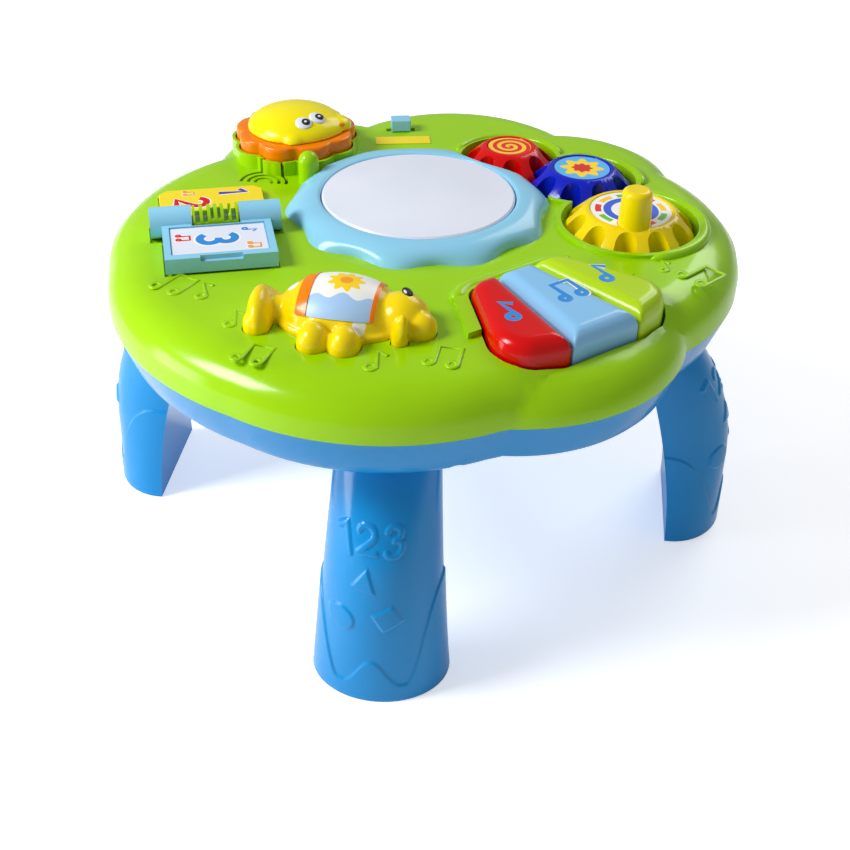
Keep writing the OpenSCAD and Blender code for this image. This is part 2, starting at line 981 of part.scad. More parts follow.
module contact_domes() {
  color([0.85, 0.85, 0.82]) {
    for (p = [drum_at, lion_at, fawn_at])
      at_xy(p, board_z + board_t)
        dome();
    in_bank()
      for (x = [-27, 0, 27])
        at_xy([x, plunger_w], board_z + board_t)
          dome();
  }
}

module lamps() {
  color("white")
    for (a = [45, 135, 225, 315])
      at_xy(drum_at + 17 * [cos(a), sin(a)], board_z + board_t) {
        cylinder(h = 5, r = 2.5, $fn = small_fn);
        translate([0, 0, 5])
          sphere(r = 2.5, $fn = small_fn);
      }
}

module sound_chip() {
  color([0.1, 0.1, 0.1])
    at_xy(drum_at + [-8, -21], board_z + board_t)
      cube([16, 8, 2]);
}

// Posts for the board screws: under the ceiling, over the boards.
BOARD_POSTS = concat(
  [for (x = [-board_x, board_x]) for (y = [-board_y, board_y]) drum_at + [x, y]],
  [for (x = [-9, 9]) lion_at + [x, 0]]);
// The fawn's posts stand round its opening.
FAWN_POSTS = [[-20, -20], [20, -20], [0, 28]];

module board_screws() {
  color(steel) {
    for (p = BOARD_POSTS)
      at_xy(p, board_z)
        board_screw();
    in_fawn()
      for (p = FAWN_POSTS)
        at_xy(p, board_z)
          board_screw();
    in_bank()
      for (x = [-14, 14])
        at_xy([x, plunger_w], board_z)
          board_screw();
  }
}

module board_screw() {
  translate([0, 0, -1.4])
    cylinder(h = 1.4, r = 2.6, $fn = small_fn);
  cylinder(h = board_screw_l, r = screw_r, $fn = small_fn);
}

// Base, battery box and door.
module socket_plan(grow) {
  intersection() {
    translate([103 - grow, -17 - grow])
      square([30, 34 + 2 * grow]);
    translate([100, 0])
      circle(r = 19 + grow, $fn = round_fn);
  }
}

module base_form(grow, low, high) {
  for (l = LOBES)
    at_lobe(l)
      rotate_extrude($fn = round_fn)
        polygon([[0, low], [l[2] + grow - skirt_draw - 2.5, low], [l[2] + grow - skirt_draw, low + 3],
          [l[2] + grow, high], [0, high]]);
}

module base_shell() {
  color(sky)
    difference() {
      union() {
        base_form(0, base_z, seam_z);
        outline(-wall - gap / 2, seam_z - 1, seam_z + lap_h);
      }
      difference() {
        base_form(-base_wall, floor_z, seam_z + lap_h + 1);
        for (p = CASE_POSTS)
          at_xy(p, base_z)
            cylinder(h = seam_z - base_z, r = post_outer, $fn = small_fn);
        for (a = [0:90:270])
          rotate([0, 0, a])
            translate([0, 0, base_z])
              linear_extrude(height = neck_h + 2.5 + 2)
                socket_plan(2.2);
        translate([-box_w / 2 - box_wall, -box_l / 2 - box_wall, base_z])
          cube([box_w + 2 * box_wall, box_l + 2 * box_wall, box_top + box_wall - base_z]);
        at_xy(door_screw_at, base_z)
          cylinder(h = 12, r = post_outer, $fn = small_fn);
        translate([-box_w / 2 - door_lap - 2, -box_l / 2 - door_lap - 2, base_z])
          cube([box_w + 2 * door_lap + 4, box_l + 2 * door_lap + 4, door_t + 2]);
      }
      for (p = CASE_POSTS) {
        at_xy(p, seam_z)
          cylinder(h = lap_h + 1, r = post_outer + gap, $fn = small_fn);
        at_xy(p, base_z - 1)
          cylinder(h = seam_z - base_z + 2, r = screw_r + 0.3, $fn = small_fn);
        at_xy(p, base_z - 1)
          cylinder(h = 7, r = screw_head_r + 0.5, $fn = small_fn);
      }
      for (a = [0:90:270])
        rotate([0, 0, a])
          translate([0, 0, base_z - 1])
            linear_extrude(height = neck_h + 1.5)
              socket_plan(gap / 2);
      translate([-box_w / 2, -box_l / 2, base_z - 1])
        cube([box_w, box_l, box_top + 1 - base_z]);
      translate([-box_w / 2 - door_lap, -box_l / 2 - door_lap, base_z - 1])
        cube([box_w + 2 * door_lap, box_l + 2 * door_lap, door_t + 1]);
      at_xy(door_screw_at, base_z)
        cylinder(h = 10, r = screw_r, $fn = small_fn);
    }
}

module battery_door() {
  color(sky)
    difference() {
      translate([-box_w / 2 - door_lap + gap, -box_l / 2 - door_lap + gap, base_z])
        cube([box_w + 2 * door_lap - 2 * gap, box_l + 2 * door_lap - 2 * gap, door_t]);
      at_xy(door_screw_at, base_z - 1)
        cylinder(h = 4, r = screw_r + 0.1, $fn = small_fn);
      at_xy(door_screw_at, base_z - 1)
        cylinder(h = 2, r = screw_head_r + 0.3, $fn = small_fn);
      for (i = [-3:3])
        translate([-8, -box_l / 2 + 4 + 1.6 * i, base_z - 1])
          cube([16, 0.8, 1.6]);
    }
}

module batteries() {
  color([0.2, 0.2, 0.25])
    for (i = [-1, 0, 1])
      translate([i * (2 * cell_r + cell_gap), -cell_l / 2, cell_z])
        rotate([-90, 0, 0])
          cylinder(h = cell_l, r = cell_r, $fn = round_fn);
}

module battery_contacts() {
  color(steel)
    for (s = [-1, 1])
      for (i = [-1, 0, 1])
        translate([i * (2 * cell_r + cell_gap) - 5, s * (cell_l / 2 + 1.75) - 1.75, cell_z - 5])
          cube([10, 3.5, 10]);
}

module door_screw() {
  color(steel)
    at_xy(door_screw_at, base_z) {
      cylinder(h = 10, r = screw_r, $fn = small_fn);
      cylinder(h = 1, r = screw_head_r, $fn = small_fn);
    }
}

module case_screws() {
  color(steel)
    for (p = CASE_POSTS)
      at_xy(p, base_z + 6) {
        translate([0, 0, -2])
          cylinder(h = 2, r = screw_head_r, $fn = small_fn);
        cylinder(h = seam_z - base_z - 6 + 6, r = screw_r, $fn = small_fn);
      }
}

// Legs: D-shaped hollow columns that curve out and down to the feet.
function leg_outer(z) = foot_reach - (z > 35 ? (foot_reach - 120) * pow((z - 35) / (base_z - 35), 2.2) : 0);
function leg_inner(z) = 129.5 - 28 * pow(z / base_z, 1.8);
function leg_half(z) = foot_half_w - (foot_half_w - leg_top_half_w) * pow(z / base_z, 0.9);
leg_n = 28;
function leg_ring(z, grow) =
  let (o = leg_outer(z) + grow, i = leg_inner(z) - grow, h = leg_half(z) + grow)
  concat([[i, h], [i, -h]],
    [for (k = [0:leg_n]) let (a = -90 + 180 * k / leg_n)
      [i + 2 + (o - i - 2) * cos(a), h * sin(a)]]);

bar_w = 2;
bar_steps = 6;
LEG_Z = [for (k = [0:9]) base_z * k / 9];

module leg_loft(grow, low) {
  loft([for (z = LEG_Z) leg_ring(z, grow)],
    [for (z = LEG_Z) z == 0 ? low : z]);
}

// The cuff's wavy edge, seen from outside: height over the distance from the middle.
function cuff_edge(t) = abs(t) < 12
  ? 15 + 4 * cos(15 * t)
  : 11 + 34 * pow((abs(t) - 12) / 12, 1.7);

// A bent bar: the middle of its bend, the radius of its middle line and its two end directions.
module bent_bar(x, z, r, from, to) {
  step = (to - from) / bar_steps;
  translate([x, z])
    polygon(concat(
      [for (k = [0:bar_steps]) let (a = from + k * step) (r + bar_w / 2) * [cos(a), sin(a)]],
      [for (k = [bar_steps:-1:0]) let (a = from + k * step) (r - bar_w / 2) * [cos(a), sin(a)]]));
}

module straight_bar(x, z, l, turn) {
  translate([x, z])
    rotate(turn)
      translate([0, -bar_w / 2])
        square([l, bar_w]);
}

// The raised figures on a leg's face, in the plane across the leg and up.
module figures() {
  cuff = [for (t = [-24:3:24]) [t, cuff_edge(t)]];
  polygon(concat([[-40, 0], [-40, 45]], cuff, [[40, 45], [40, 0]]));
  translate([-9.5, 36])
    circle(r = 5.6, $fn = small_fn);
  translate([9.5, 34])
    rotate(25)
      square([11, 11], center = true);
  translate([0, 53])
    rotate(95)
      circle(r = 7.6, $fn = 3);
  // 1, 2 and 3
  straight_bar(-11, 72, 13, 97);
  straight_bar(-15.4, 83, 3.4, 12);
  bent_bar(-2.4, 81.4, 3, -35, 170);
  straight_bar(-6.1, 72.6, 8.6, 48);
  straight_bar(-6.4, 72.8, 8, 0);
  bent_bar(8.4, 81.8, 2.6, -90, 150);
  bent_bar(8.4, 75.6, 3.4, -150, 90);
}

module leg_cuts() {
  intersection() {
    leg_loft(relief_h, 0);
    translate([129, 0, 0])
      rotate([90, 0, 90])
        linear_extrude(height = 40)
          figures();
  }
}

// Drawn as one faceted solid, because its curves are lofted.
module one_mesh() {
  minkowski() {
    union() children();
  }
}

module leg(turn) {
  color(sky)
    rotate([0, 0, turn]) {
      one_mesh() {
        difference() {
          union() {
            leg_loft(0, 0);
            leg_cuts();
          }
          leg_loft(-leg_wall, -1);
        }
        translate([0, 0, base_z - 4])
          linear_extrude(height = neck_h + 4)
            socket_plan(0);
      }
    }
}

module leg_front() {
  leg(270);
}

module leg_right() {
  leg(0);
}

module leg_back() {
  leg(90);
}

module leg_left() {
  leg(180);
}

// The green top.
module tray_plan(grow) {
  at_xy(yellow_at)
    circle(r = yellow_pitch + addendum + grow, $fn = round_fn);
  at_xy(blue_at)
    circle(r = blue_pitch + addendum + grow, $fn = round_fn);
  at_xy(red_at)
    circle(r = red_pitch + addendum + grow, $fn = round_fn);
}

module book_plan(grow) {
  translate([-page_w / 2 - grow, -page_l - grow])
    square([page_w + 2 * grow, 2 * page_l + 2 * grow]);
  translate([-29 - grow, -knuckle_r - grow])
    square([58 + 2 * grow, 2 * knuckle_r + 2 * grow]);
}

module cavity() {
  difference() {
    for (l = LOBES)
      hollow_lobe(l);
    for (p = CASE_POSTS)
      at_xy(p, seam_z)
        cylinder(h = shell_h, r = post_outer, $fn = small_fn);
    // tray, key well and book recess hang into the cavity
    translate([0, 0, tray_z - wall])
      linear_extrude(height = 30)
        tray_plan(tray_play + wall);
    translate([0, 0, well_z - bank_wall])
      linear_extrude(height = 40)
        in_bank_plan(well_gap + bank_wall);
    in_bank()
      for (x = [-14, 14])
        at_xy([x, plunger_w], board_z + board_t)
          cylinder(h = well_z - board_z - board_t, r = board_post_r, $fn = small_fn);
    at_xy(speaker_at, ceiling - speaker_ring)
      tube(5, speaker_r, speaker_r - 2);
    for (p = BOARD_POSTS)
      at_xy(p, board_z + board_t)
        cylinder(h = shell_h, r = board_post_r, $fn = small_fn);
    in_fawn()
      for (p = FAWN_POSTS)
        at_xy(p, board_z + board_t)
          cylinder(h = shell_h, r = board_post_r, $fn = small_fn);
    in_book()
      translate([0, 0, ceiling - book_sink])
        linear_extrude(height = 10)
          book_plan(2);
  }
}

module in_bank_plan(grow) {
  translate(bank_at)
    rotate(bank_turn)
      mirror([1, 0])
        bank_plan(grow);
}

module welt_plan() {
  translate(bank_at)
    rotate(bank_turn)
      mirror([1, 0])
        intersection() {
          bank_plan(well_gap + welt_w);
          translate([-2 * bank_half_w, -bank_l])
            square([4 * bank_half_w, bank_l + welt_l]);
        }
}

// Three arcs over the loudspeaker, one inside the other.
module speaker_slots() {
  for (r = [4, 7.5, 11])
    intersection() {
      difference() {
        circle(r = r + 0.8, $fn = round_fn);
        circle(r = r - 0.8, $fn = round_fn);
      }
      translate([-r - 1, -1])
        square([2 * r + 2, r + 3]);
    }
}

module top_shell() {
  color(green)
    difference() {
      union() {
        difference() {
          for (l = LOBES)
            lobe(l);
          cavity();
        }
        pedestal();
        // raised borders behind the gears and round the back of the keyboard
        difference() {
          union() {
            translate([0, 0, ceiling])
              linear_extrude(height = wall + 1.6)
                tray_plan(tray_play + tray_border);
            translate([0, 0, ceiling])
              linear_extrude(height = wall + 2.6)
                welt_plan();
          }
          at_xy(drum_at, top_z)
            cylinder(h = 10, r = drum_r + scallop + gap, $fn = round_fn);
        }
        at_xy(tuft_at, ceiling)
          cylinder(h = tuft_h, r = tuft_r, $fn = small_fn);
        at_xy(tuft_at, ceiling + tuft_h)
          sphere(r = tuft_r, $fn = small_fn);
      }
      pedestal_pocket();
      // tray for the gears, and their posts
      difference() {
        translate([0, 0, tray_z])
          linear_extrude(height = 30)
            tray_plan(tray_play);
        for (p = [yellow_at, blue_at, red_at])
          at_xy(p, tray_z - 1)
            cylinder(h = post_h + 1, r = post_r, $fn = round_fn);
      }
      for (p = [yellow_at, blue_at, red_at])
        at_xy(p, tray_z + post_h - 6)
          cylinder(h = 8, r = screw_r, $fn = small_fn);
      // key well
      translate([0, 0, well_z])
        linear_extrude(height = 40)
          in_bank_plan(well_gap);
      in_bank() {
        for (x = [-27, 0, 27])
          at_xy([x, plunger_w], well_z - 5)
            cylinder(h = 20, r = 3.5, $fn = small_fn);
        for (x = [-14, 14])
          at_xy([x, plunger_w], board_z)
            cylinder(h = board_screw_l, r = screw_r, $fn = small_fn);
        translate([-rod_half, rod_w, rod_z])
          rotate([0, 90, 0])
            cylinder(h = 2 * rod_half, r = rod_r, $fn = small_fn);
      }
      // drum, lion, fawn and switch openings
      at_xy(drum_at, seam_z)
        cylinder(h = shell_h + 20, r = drum_hole_r, $fn = round_fn);
      at_xy(lion_at, seam_z)
        cylinder(h = shell_h + 20, r = 5 + gap, $fn = small_fn);
      in_fawn()
        translate([0, 0, seam_z])
          linear_extrude(height = shell_h + 20)
            fawn_plan(gap);
      in_switch()
        translate([-3 - switch_travel - gap, -1.5 - gap, seam_z])
          cube([6 + 2 * switch_travel + 2 * gap, 3 + 2 * gap, shell_h + 20]);
      // book recess
      in_book()
        translate([0, 0, top_z - book_sink])
          linear_extrude(height = 10)
            book_plan(0.6);
      // speaker slots
      at_xy(speaker_at, seam_z)
        linear_extrude(height = shell_h + 20)
          speaker_slots();
      for (p = CASE_POSTS)
        at_xy(p, seam_z - 1)
          cylinder(h = post_hole, r = screw_r, $fn = small_fn);
      for (p = BOARD_POSTS)
        at_xy(p, board_z)
          cylinder(h = board_hole, r = screw_r, $fn = small_fn);
      in_fawn()
        for (p = FAWN_POSTS)
          at_xy(p, board_z)
            cylinder(h = board_hole, r = screw_r, $fn = small_fn);
    }
}

top_shell();
base_shell();
leg_front();
leg_right();
leg_back();
leg_left();
drum_rim();
drum_pad();
yellow_gear();
blue_gear();
red_gear();
yellow_gear_label();
blue_gear_label();
red_gear_label();
gear_screws();
red_key();
blue_key();
green_key();
key_rod();
book_page();
book_leaf();
leaf_sticker();
hinge_pin();
hinge_cover();
lion_mane();
lion_face();
lion_eyes();
fawn_button();
fawn_picture();
fawn_band();
fawn_eye();
switch_slider();
switch_label();
speaker();
speaker_magnet();
main_board();
key_board();
button_boards();
contact_domes();
lamps();
sound_chip();
battery_door();
batteries();
battery_contacts();
door_screw();
case_screws();
board_screws();
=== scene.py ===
# %% [markdown]
# A musical activity table stands on four legs and carries a drum, three gears, three keys, a book,
# a lion, a fawn and a slide switch. The construction is already fixed and arrives as a frame of
# exact pieces. This lesson dresses that frame: it gives each moulding its rounded edges and gloss,
# models the soft forms that a construction file leaves plain, and prints the labels.

# %% Load the frame
import json
import math
import bmesh
import bpy
from mathutils import Matrix, Vector


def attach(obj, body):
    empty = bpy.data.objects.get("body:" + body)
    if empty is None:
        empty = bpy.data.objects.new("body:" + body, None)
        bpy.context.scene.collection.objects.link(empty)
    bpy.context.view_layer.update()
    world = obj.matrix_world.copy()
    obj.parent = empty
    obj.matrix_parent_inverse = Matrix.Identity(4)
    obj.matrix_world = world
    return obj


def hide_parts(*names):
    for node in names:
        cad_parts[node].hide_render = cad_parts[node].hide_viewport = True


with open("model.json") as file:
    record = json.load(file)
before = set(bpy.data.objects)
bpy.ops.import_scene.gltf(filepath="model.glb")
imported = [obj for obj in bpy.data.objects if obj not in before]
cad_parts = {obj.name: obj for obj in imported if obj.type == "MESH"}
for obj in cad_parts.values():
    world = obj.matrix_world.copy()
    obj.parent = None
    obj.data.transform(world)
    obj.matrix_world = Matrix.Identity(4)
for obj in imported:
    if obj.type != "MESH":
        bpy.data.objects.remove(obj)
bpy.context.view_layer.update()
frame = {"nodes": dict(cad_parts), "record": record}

# %% [markdown]
# The photograph was taken from in front, a little to the right and well above the table. The camera
# stands there first, because everything else is judged through it. The lens sees 35 degrees, and
# its small shift puts the middle of the view where the photograph has it.

# %% Camera
image_px = 850
focal_px = 1347.7
centre_px = (417.8, 401.8)
camera_at = Vector((0.0609, -0.5657, 0.4361))
camera_turn = math.radians(6.14)
camera_down = math.radians(34.03)
camera_roll = 0.02

camera_data = bpy.data.cameras.new("camera")
camera_data.sensor_width = 36.0
camera_data.lens = focal_px / image_px * camera_data.sensor_width
camera_data.shift_x = (image_px / 2 - centre_px[0]) / image_px
camera_data.shift_y = (centre_px[1] - image_px / 2) / image_px
camera_data.clip_start = 0.01
camera = bpy.data.objects.new("camera", camera_data)
turn = (Matrix.Rotation(camera_turn, 4, "Z")
        @ Matrix.Rotation(math.pi / 2 - camera_down, 4, "X")
        @ Matrix.Rotation(camera_roll, 4, "Z"))
camera.matrix_world = Matrix.Translation(camera_at) @ turn
bpy.context.scene.collection.objects.link(camera)
bpy.context.scene.camera = camera
bpy.context.scene.view_settings.view_transform = "Standard"
print("lens", round(camera_data.lens, 2), "mm")

# %% [markdown]
# Glossy plastic shows its shape through soft highlights, so the studio is a pale room with a soft
# key lamp on the left, a low one on the same side and a weaker one behind. The dim world fills the
# shadows, and the camera sees a pale backdrop in its place. The lamps are weak enough that yellow
# and white plastic keep their colour.

# %% Studio
def soft_lamp(name, place, aim, size, power):
    data = bpy.data.lights.new(name, "AREA")
    data.shape = "SQUARE"
    data.size = size
    data.energy = power
    lamp = bpy.data.objects.new(name, data)
    lamp.location = place
    lamp.rotation_euler = (Vector(aim) - Vector(place)).to_track_quat("-Z", "Y").to_euler()
    bpy.context.scene.collection.objects.link(lamp)
    return lamp


table_middle = (0.0, 0.0, 0.12)
for lamp_name, lamp_at, lamp_size, lamp_power in (("key_lamp", (-1.0, -0.40, 1.05), 0.5, 17.0),
                                                  ("side_lamp", (-1.2, -0.35, 0.25), 0.5, 5.0),
                                                  ("back_lamp", (0.5, 0.9, 0.9), 0.6, 4.0)):
    soft_lamp(lamp_name, lamp_at, table_middle, lamp_size, lamp_power)
world = bpy.data.worlds.new("studio")
bpy.context.scene.world = world
world.use_nodes = True
world_nodes = world.node_tree.nodes
dim = world_nodes["Background"]
dim.inputs["Color"].default_value = (1.0, 1.0, 1.0, 1.0)
dim.inputs["Strength"].default_value = 0.30
path = world_nodes.new("ShaderNodeLightPath")
seen = world_nodes.new("ShaderNodeBackground")
seen.inputs["Strength"].default_value = 1.0
choice = world_nodes.new("ShaderNodeMixShader")
join = world.node_tree.links.new
join(path.outputs["Is Camera Ray"], choice.inputs["Fac"])
join(dim.outputs["Background"], choice.inputs[1])
join(seen.outputs["Background"], choice.inputs[2])
join(choice.outputs["Shader"], world_nodes["World Output"].inputs["Surface"])
print("lamps:", len(bpy.data.lights))

# %% [markdown]
# A material here is written as arithmetic. The small class below wraps a shader socket, so that an
# expression such as 1 - mask adds its own Math nodes. Everything else comes from its one method,
# node, which takes a node's type, its settings and its inputs.

# %% Shader arithmetic
class Flow:
    def __init__(self, tree, socket):
        self.tree = tree
        self.socket = socket

    def node(self, kind, settings=None, out=0, **inputs):
        made = self.tree.nodes.new(kind)
        for key, value in (settings or {}).items():
            setattr(made, key, value)
        for key, value in inputs.items():
            slot = made.inputs[int(key[1:]) if key[0] == "_" else key.replace("_", " ")]
            if isinstance(value, Flow):
                self.tree.links.new(value.socket, slot)
            else:
                slot.default_value = value
        return Flow(self.tree, made.outputs[out])

    def math(self, operation, first, second=0.0):
        return self.node("ShaderNodeMath", {"operation": operation}, _0=first, _1=second)

    def __add__(self, other):
        return self.math("ADD", self, other)

    __radd__ = __add__

    def __sub__(self, other):
        return self.math("SUBTRACT", self, other)

    def __rsub__(self, other):
        return self.math("SUBTRACT", other, self)

    def __mul__(self, other):
        return self.math("MULTIPLY", self, other)

    __rmul__ = __mul__

    def __truediv__(self, other):
        return self.math("DIVIDE", self, other)

    def __lt__(self, other):
        return self.math("LESS_THAN", self, other)

    def __gt__(self, other):
        return self.math("GREATER_THAN", self, other)


def cosine(turns):
    """The cosine of an angle that is given in whole turns."""
    return turns.math("COSINE", turns * (2 * math.pi))


def part_of_one(value):
    """What is left of a value when its whole part is taken away."""
    return value.math("FRACT", value)


def linear(colour):
    """A colour as painted on screen, as the numbers that the shader wants."""
    return tuple(c / 12.92 if c <= 0.04045 else ((c + 0.055) / 1.055) ** 2.4 for c in colour) + (1.0,)


def start_material(name):
    """A new material, its Object coordinates to paint by, and its shader."""
    made = bpy.data.materials.new(name)
    made.use_nodes = True
    tree = made.node_tree
    shader = tree.nodes["Principled BSDF"]
    place = tree.nodes.new("ShaderNodeTexCoord")
    return made, Flow(tree, place.outputs["Object"]), shader


def blend(flow, mask, low, high):
    """Colour low where the mask is 0 and colour high where it is 1."""
    return flow.node("ShaderNodeMix", {"data_type": "RGBA"}, out=2, _0=mask, _6=low, _7=high)


def feed(flow, shader, socket, value):
    """Links a value into a socket of the shader, or sets it there if it is a plain one."""
    if isinstance(value, Flow):
        flow.tree.links.new(value.socket, shader.inputs[socket])
    else:
        shader.inputs[socket].default_value = value


# %% [markdown]
# The mouldings are glossy ABS. Real ABS isn't one flat colour: the pigment drifts a little across
# a large part, the gloss is uneven where hands have been, and the surface has a faint orange-peel.
# One function makes the whole family, so every colour has the same kind of skin.

# %% Moulded plastic
def moulded(name, colour, roughness=0.2, coat=0.1, drift=0.03, marks=None):
    """Plastic whose pigment drifts by a part of its colour; marks may paint over it."""
    made, place, shader = start_material(name)
    patches = place.node("ShaderNodeTexNoise", Vector=place, Scale=14.0, Detail=3.0)
    deeper = tuple(c * (1.0 - drift * 2.2) for c in colour)
    paler = tuple(min(1.0, c * (1.0 + drift) + drift * 0.25) for c in colour)
    paint = blend(place, patches, linear(deeper), linear(paler))
    if marks:
        paint = marks(place, paint)
    feed(place, shader, "Base Color", paint)
    wear = place.node("ShaderNodeTexNoise", Vector=place, Scale=55.0, Detail=4.0)
    feed(place, shader, "Roughness", wear * 0.1 + (roughness - 0.05))
    peel = place.node("ShaderNodeTexNoise", Vector=place, Scale=420.0, Detail=1.0)
    bump = place.node("ShaderNodeBump", Height=peel, Strength=0.03, Distance=0.0004)
    feed(place, shader, "Normal", bump)
    shader.inputs["Coat Weight"].default_value = coat
    shader.inputs["Coat Roughness"].default_value = 0.08
    shader.inputs["Specular IOR Level"].default_value = 0.3
    return made


lime = moulded("lime_green_abs", (0.62, 0.84, 0.0))
sky = moulded("sky_blue_abs", (0.03, 0.55, 0.82))
pale_blue = moulded("pale_blue_abs", (0.56, 0.82, 0.94))
drum_white = moulded("drum_white_abs", (0.90, 0.92, 0.99), roughness=0.3)
sun_yellow = moulded("sun_yellow_abs", (1.0, 0.86, 0.0))
face_yellow = moulded("face_yellow_abs", (1.0, 0.92, 0.0))
deep_blue = moulded("deep_blue_abs", (0.03, 0.12, 0.76))
signal_red = moulded("signal_red_abs", (0.86, 0.0, 0.0))
key_blue = moulded("key_blue_abs", (0.55, 0.78, 0.95))
key_green = moulded("key_green_abs", (0.72, 0.87, 0.08))
mane_orange = moulded("mane_orange_abs", (0.97, 0.50, 0.0))
page_yellow = moulded("page_yellow_abs", (1.0, 0.88, 0.12))
print("the green plastic has", len(lime.node_tree.nodes), "nodes")

# %% [markdown]
# What the case hides still shows when the table comes apart: plated screws, green boards, a paper
# cone, silicone domes and wrapped cells. Each has its own finish.

# %% Inner finishes
def plated(name, colour, roughness=0.28):
    made, place, shader = start_material(name)
    streaks = place.node("ShaderNodeTexNoise", Vector=place, Scale=300.0, Detail=2.0)
    feed(place, shader, "Base Color", blend(place, streaks, linear(tuple(0.88 * c for c in colour)),
                                            linear(colour)))
    feed(place, shader, "Roughness", streaks * 0.15 + roughness)
    shader.inputs["Metallic"].default_value = 1.0
    return made


def speckled(name, colour, second, scale, roughness=0.6):
    made, place, shader = start_material(name)
    grain = place.node("ShaderNodeTexNoise", Vector=place, Scale=scale, Detail=4.0)
    feed(place, shader, "Base Color", blend(place, grain, linear(colour), linear(second)))
    feed(place, shader, "Roughness", grain * 0.2 + (roughness - 0.1))
    bump = place.node("ShaderNodeBump", Height=grain, Strength=0.15, Distance=0.0002)
    feed(place, shader, "Normal", bump)
    return made


zinc = plated("zinc_plate", (0.78, 0.79, 0.8))
nickel = plated("nickel_plate", (0.84, 0.83, 0.8), 0.2)
board = speckled("solder_mask", (0.05, 0.32, 0.12), (0.1, 0.42, 0.16), 500.0, 0.4)
cone_paper = speckled("cone_paper", (0.07, 0.07, 0.08), (0.16, 0.16, 0.17), 900.0, 0.85)
silicone = speckled("silicone", (0.78, 0.78, 0.74), (0.88, 0.88, 0.85), 200.0, 0.5)
chip_black = speckled("chip_black", (0.03, 0.03, 0.03), (0.08, 0.08, 0.08), 800.0, 0.6)
jacket = speckled("cell_jacket", (0.16, 0.17, 0.2), (0.24, 0.25, 0.28), 150.0, 0.35)
lamp_clear = speckled("lamp_lens", (0.85, 0.86, 0.88), (0.95, 0.95, 0.96), 120.0, 0.3)
print("the zinc plate has", len(zinc.node_tree.nodes), "nodes")

# %% [markdown]
# A moulding never has a knife edge. Its construction solid does, so each rigid piece is a merged
# copy of that solid with a small round on every sharp edge. The copy's loose triangles are joined
# and its flat faces dissolved first, because a bevel needs real edges to work on.

# %% Rounded copies of the construction solids
weld, flat_limit = 2e-6, math.radians(0.6)
crease_limit, soft_limit = math.radians(38.0), math.radians(80.0)


def merged(node):
    """The node's solid as a bmesh with shared corners and whole faces."""
    shape = bmesh.new()
    shape.from_mesh(frame["nodes"][node].data)
    bmesh.ops.remove_doubles(shape, verts=shape.verts, dist=weld)
    bmesh.ops.dissolve_limit(shape, angle_limit=flat_limit, use_dissolve_boundaries=False,
                             verts=shape.verts, edges=shape.edges, delimit=set())
    return shape


def creased(edge, limit):
    return len(edge.link_faces) == 2 and edge.calc_face_angle(0.0) > limit


def place_piece(shape, name, material, body, slot, nodes=(), limit=soft_limit):
    """Makes a mesh object of the bmesh, shades it, hangs it on its body and hides the nodes it
    replaces.
    """
    for face in shape.faces:
        face.smooth = True
    for edge in shape.edges:
        edge.smooth = not creased(edge, limit)
    mesh = bpy.data.meshes.new(name)
    shape.to_mesh(mesh)
    shape.free()
    mesh.materials.append(material)
    piece = bpy.data.objects.new(name, mesh)
    bpy.context.scene.collection.objects.link(piece)
    weigh = piece.modifiers.new("weigh", "WEIGHTED_NORMAL")
    weigh.keep_sharp = True
    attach(piece, body)
    if nodes:
        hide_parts(*nodes)
    return piece


bodies = frame["record"]["behaviour"]["bodies"]
body_of_node = {node: body for body, nodes in bodies.items() for node in nodes}
slot_of_node = {row["node"]: row["material_slot"] for row in frame["record"]["subparts"]}


def rounded(node, material, radius):
    """Dresses a node in a copy of its solid with every sharp edge rounded."""
    shape = merged(node)
    edges = [edge for edge in shape.edges if creased(edge, crease_limit)]
    bmesh.ops.bevel(shape, geom=edges, offset=radius, offset_type="OFFSET", segments=3,
                    profile=0.5, affect="EDGES", material=-1, clamp_overlap=True)
    return place_piece(shape, node + "_moulding", material, body_of_node[node],
                       slot_of_node[node], [node], crease_limit)


# %% Dress the rigid pieces
for node, material, radius in (
        ("top_shell", lime, 0.0008), ("base_shell", sky, 0.0006),
        ("drum_pad", drum_white, 0.0006),
        ("yellow_gear", sun_yellow, 0.0009), ("blue_gear", deep_blue, 0.0009),
        ("red_gear", signal_red, 0.0009),
        ("book_page", page_yellow, 0.0004), ("book_leaf", pale_blue, 0.0006),
        ("hinge_cover", lime, 0.0003), ("switch_slider", pale_blue, 0.0006),
        ("battery_door", sky, 0.0003)):
    piece = rounded(node, material, radius)
    print(piece.name, len(piece.data.polygons), "faces")

# %% [markdown]
# Small plain pieces inside the case keep their construction solids. They only need their finish.

# %% Finish the inner pieces
def finish_node(node, material):
    frame["nodes"][node].data.materials.clear()
    frame["nodes"][node].data.materials.append(material)


inner_pieces = (
    ("gear_screws", zinc), ("key_rod", zinc), ("hinge_pin", zinc),
    ("speaker", cone_paper), ("speaker_magnet", nickel), ("main_board", board),
    ("key_board", board), ("button_boards", board), ("contact_domes", silicone),
    ("lamps", lamp_clear), ("sound_chip", chip_black), ("batteries", jacket),
    ("battery_contacts", nickel), ("door_screw", zinc), ("case_screws", zinc),
    ("board_screws", zinc))
for node, material in inner_pieces:
    finish_node(node, material)
print("inner pieces:", len(inner_pieces))

# %% [markdown]
# The drum rim is one soft cushion of plastic with ten scallops round its foot that fade out towards
# the skin. A flat grid is bent into that ring. Its long side runs round the drum. Its short side
# climbs from the foot to the crest, rolls over the inner lip, goes down to the table and comes back
# underneath. Its ends meet both ways and are merged, so the ring is closed. Where a gear tray, the
# lion or the small tuft stands too near, the cushion gives way to it.

# %% A grid that can be bent
def unit(value):
    """The value, held between 0 and 1."""
    return max(0.0, min(1.0, value))


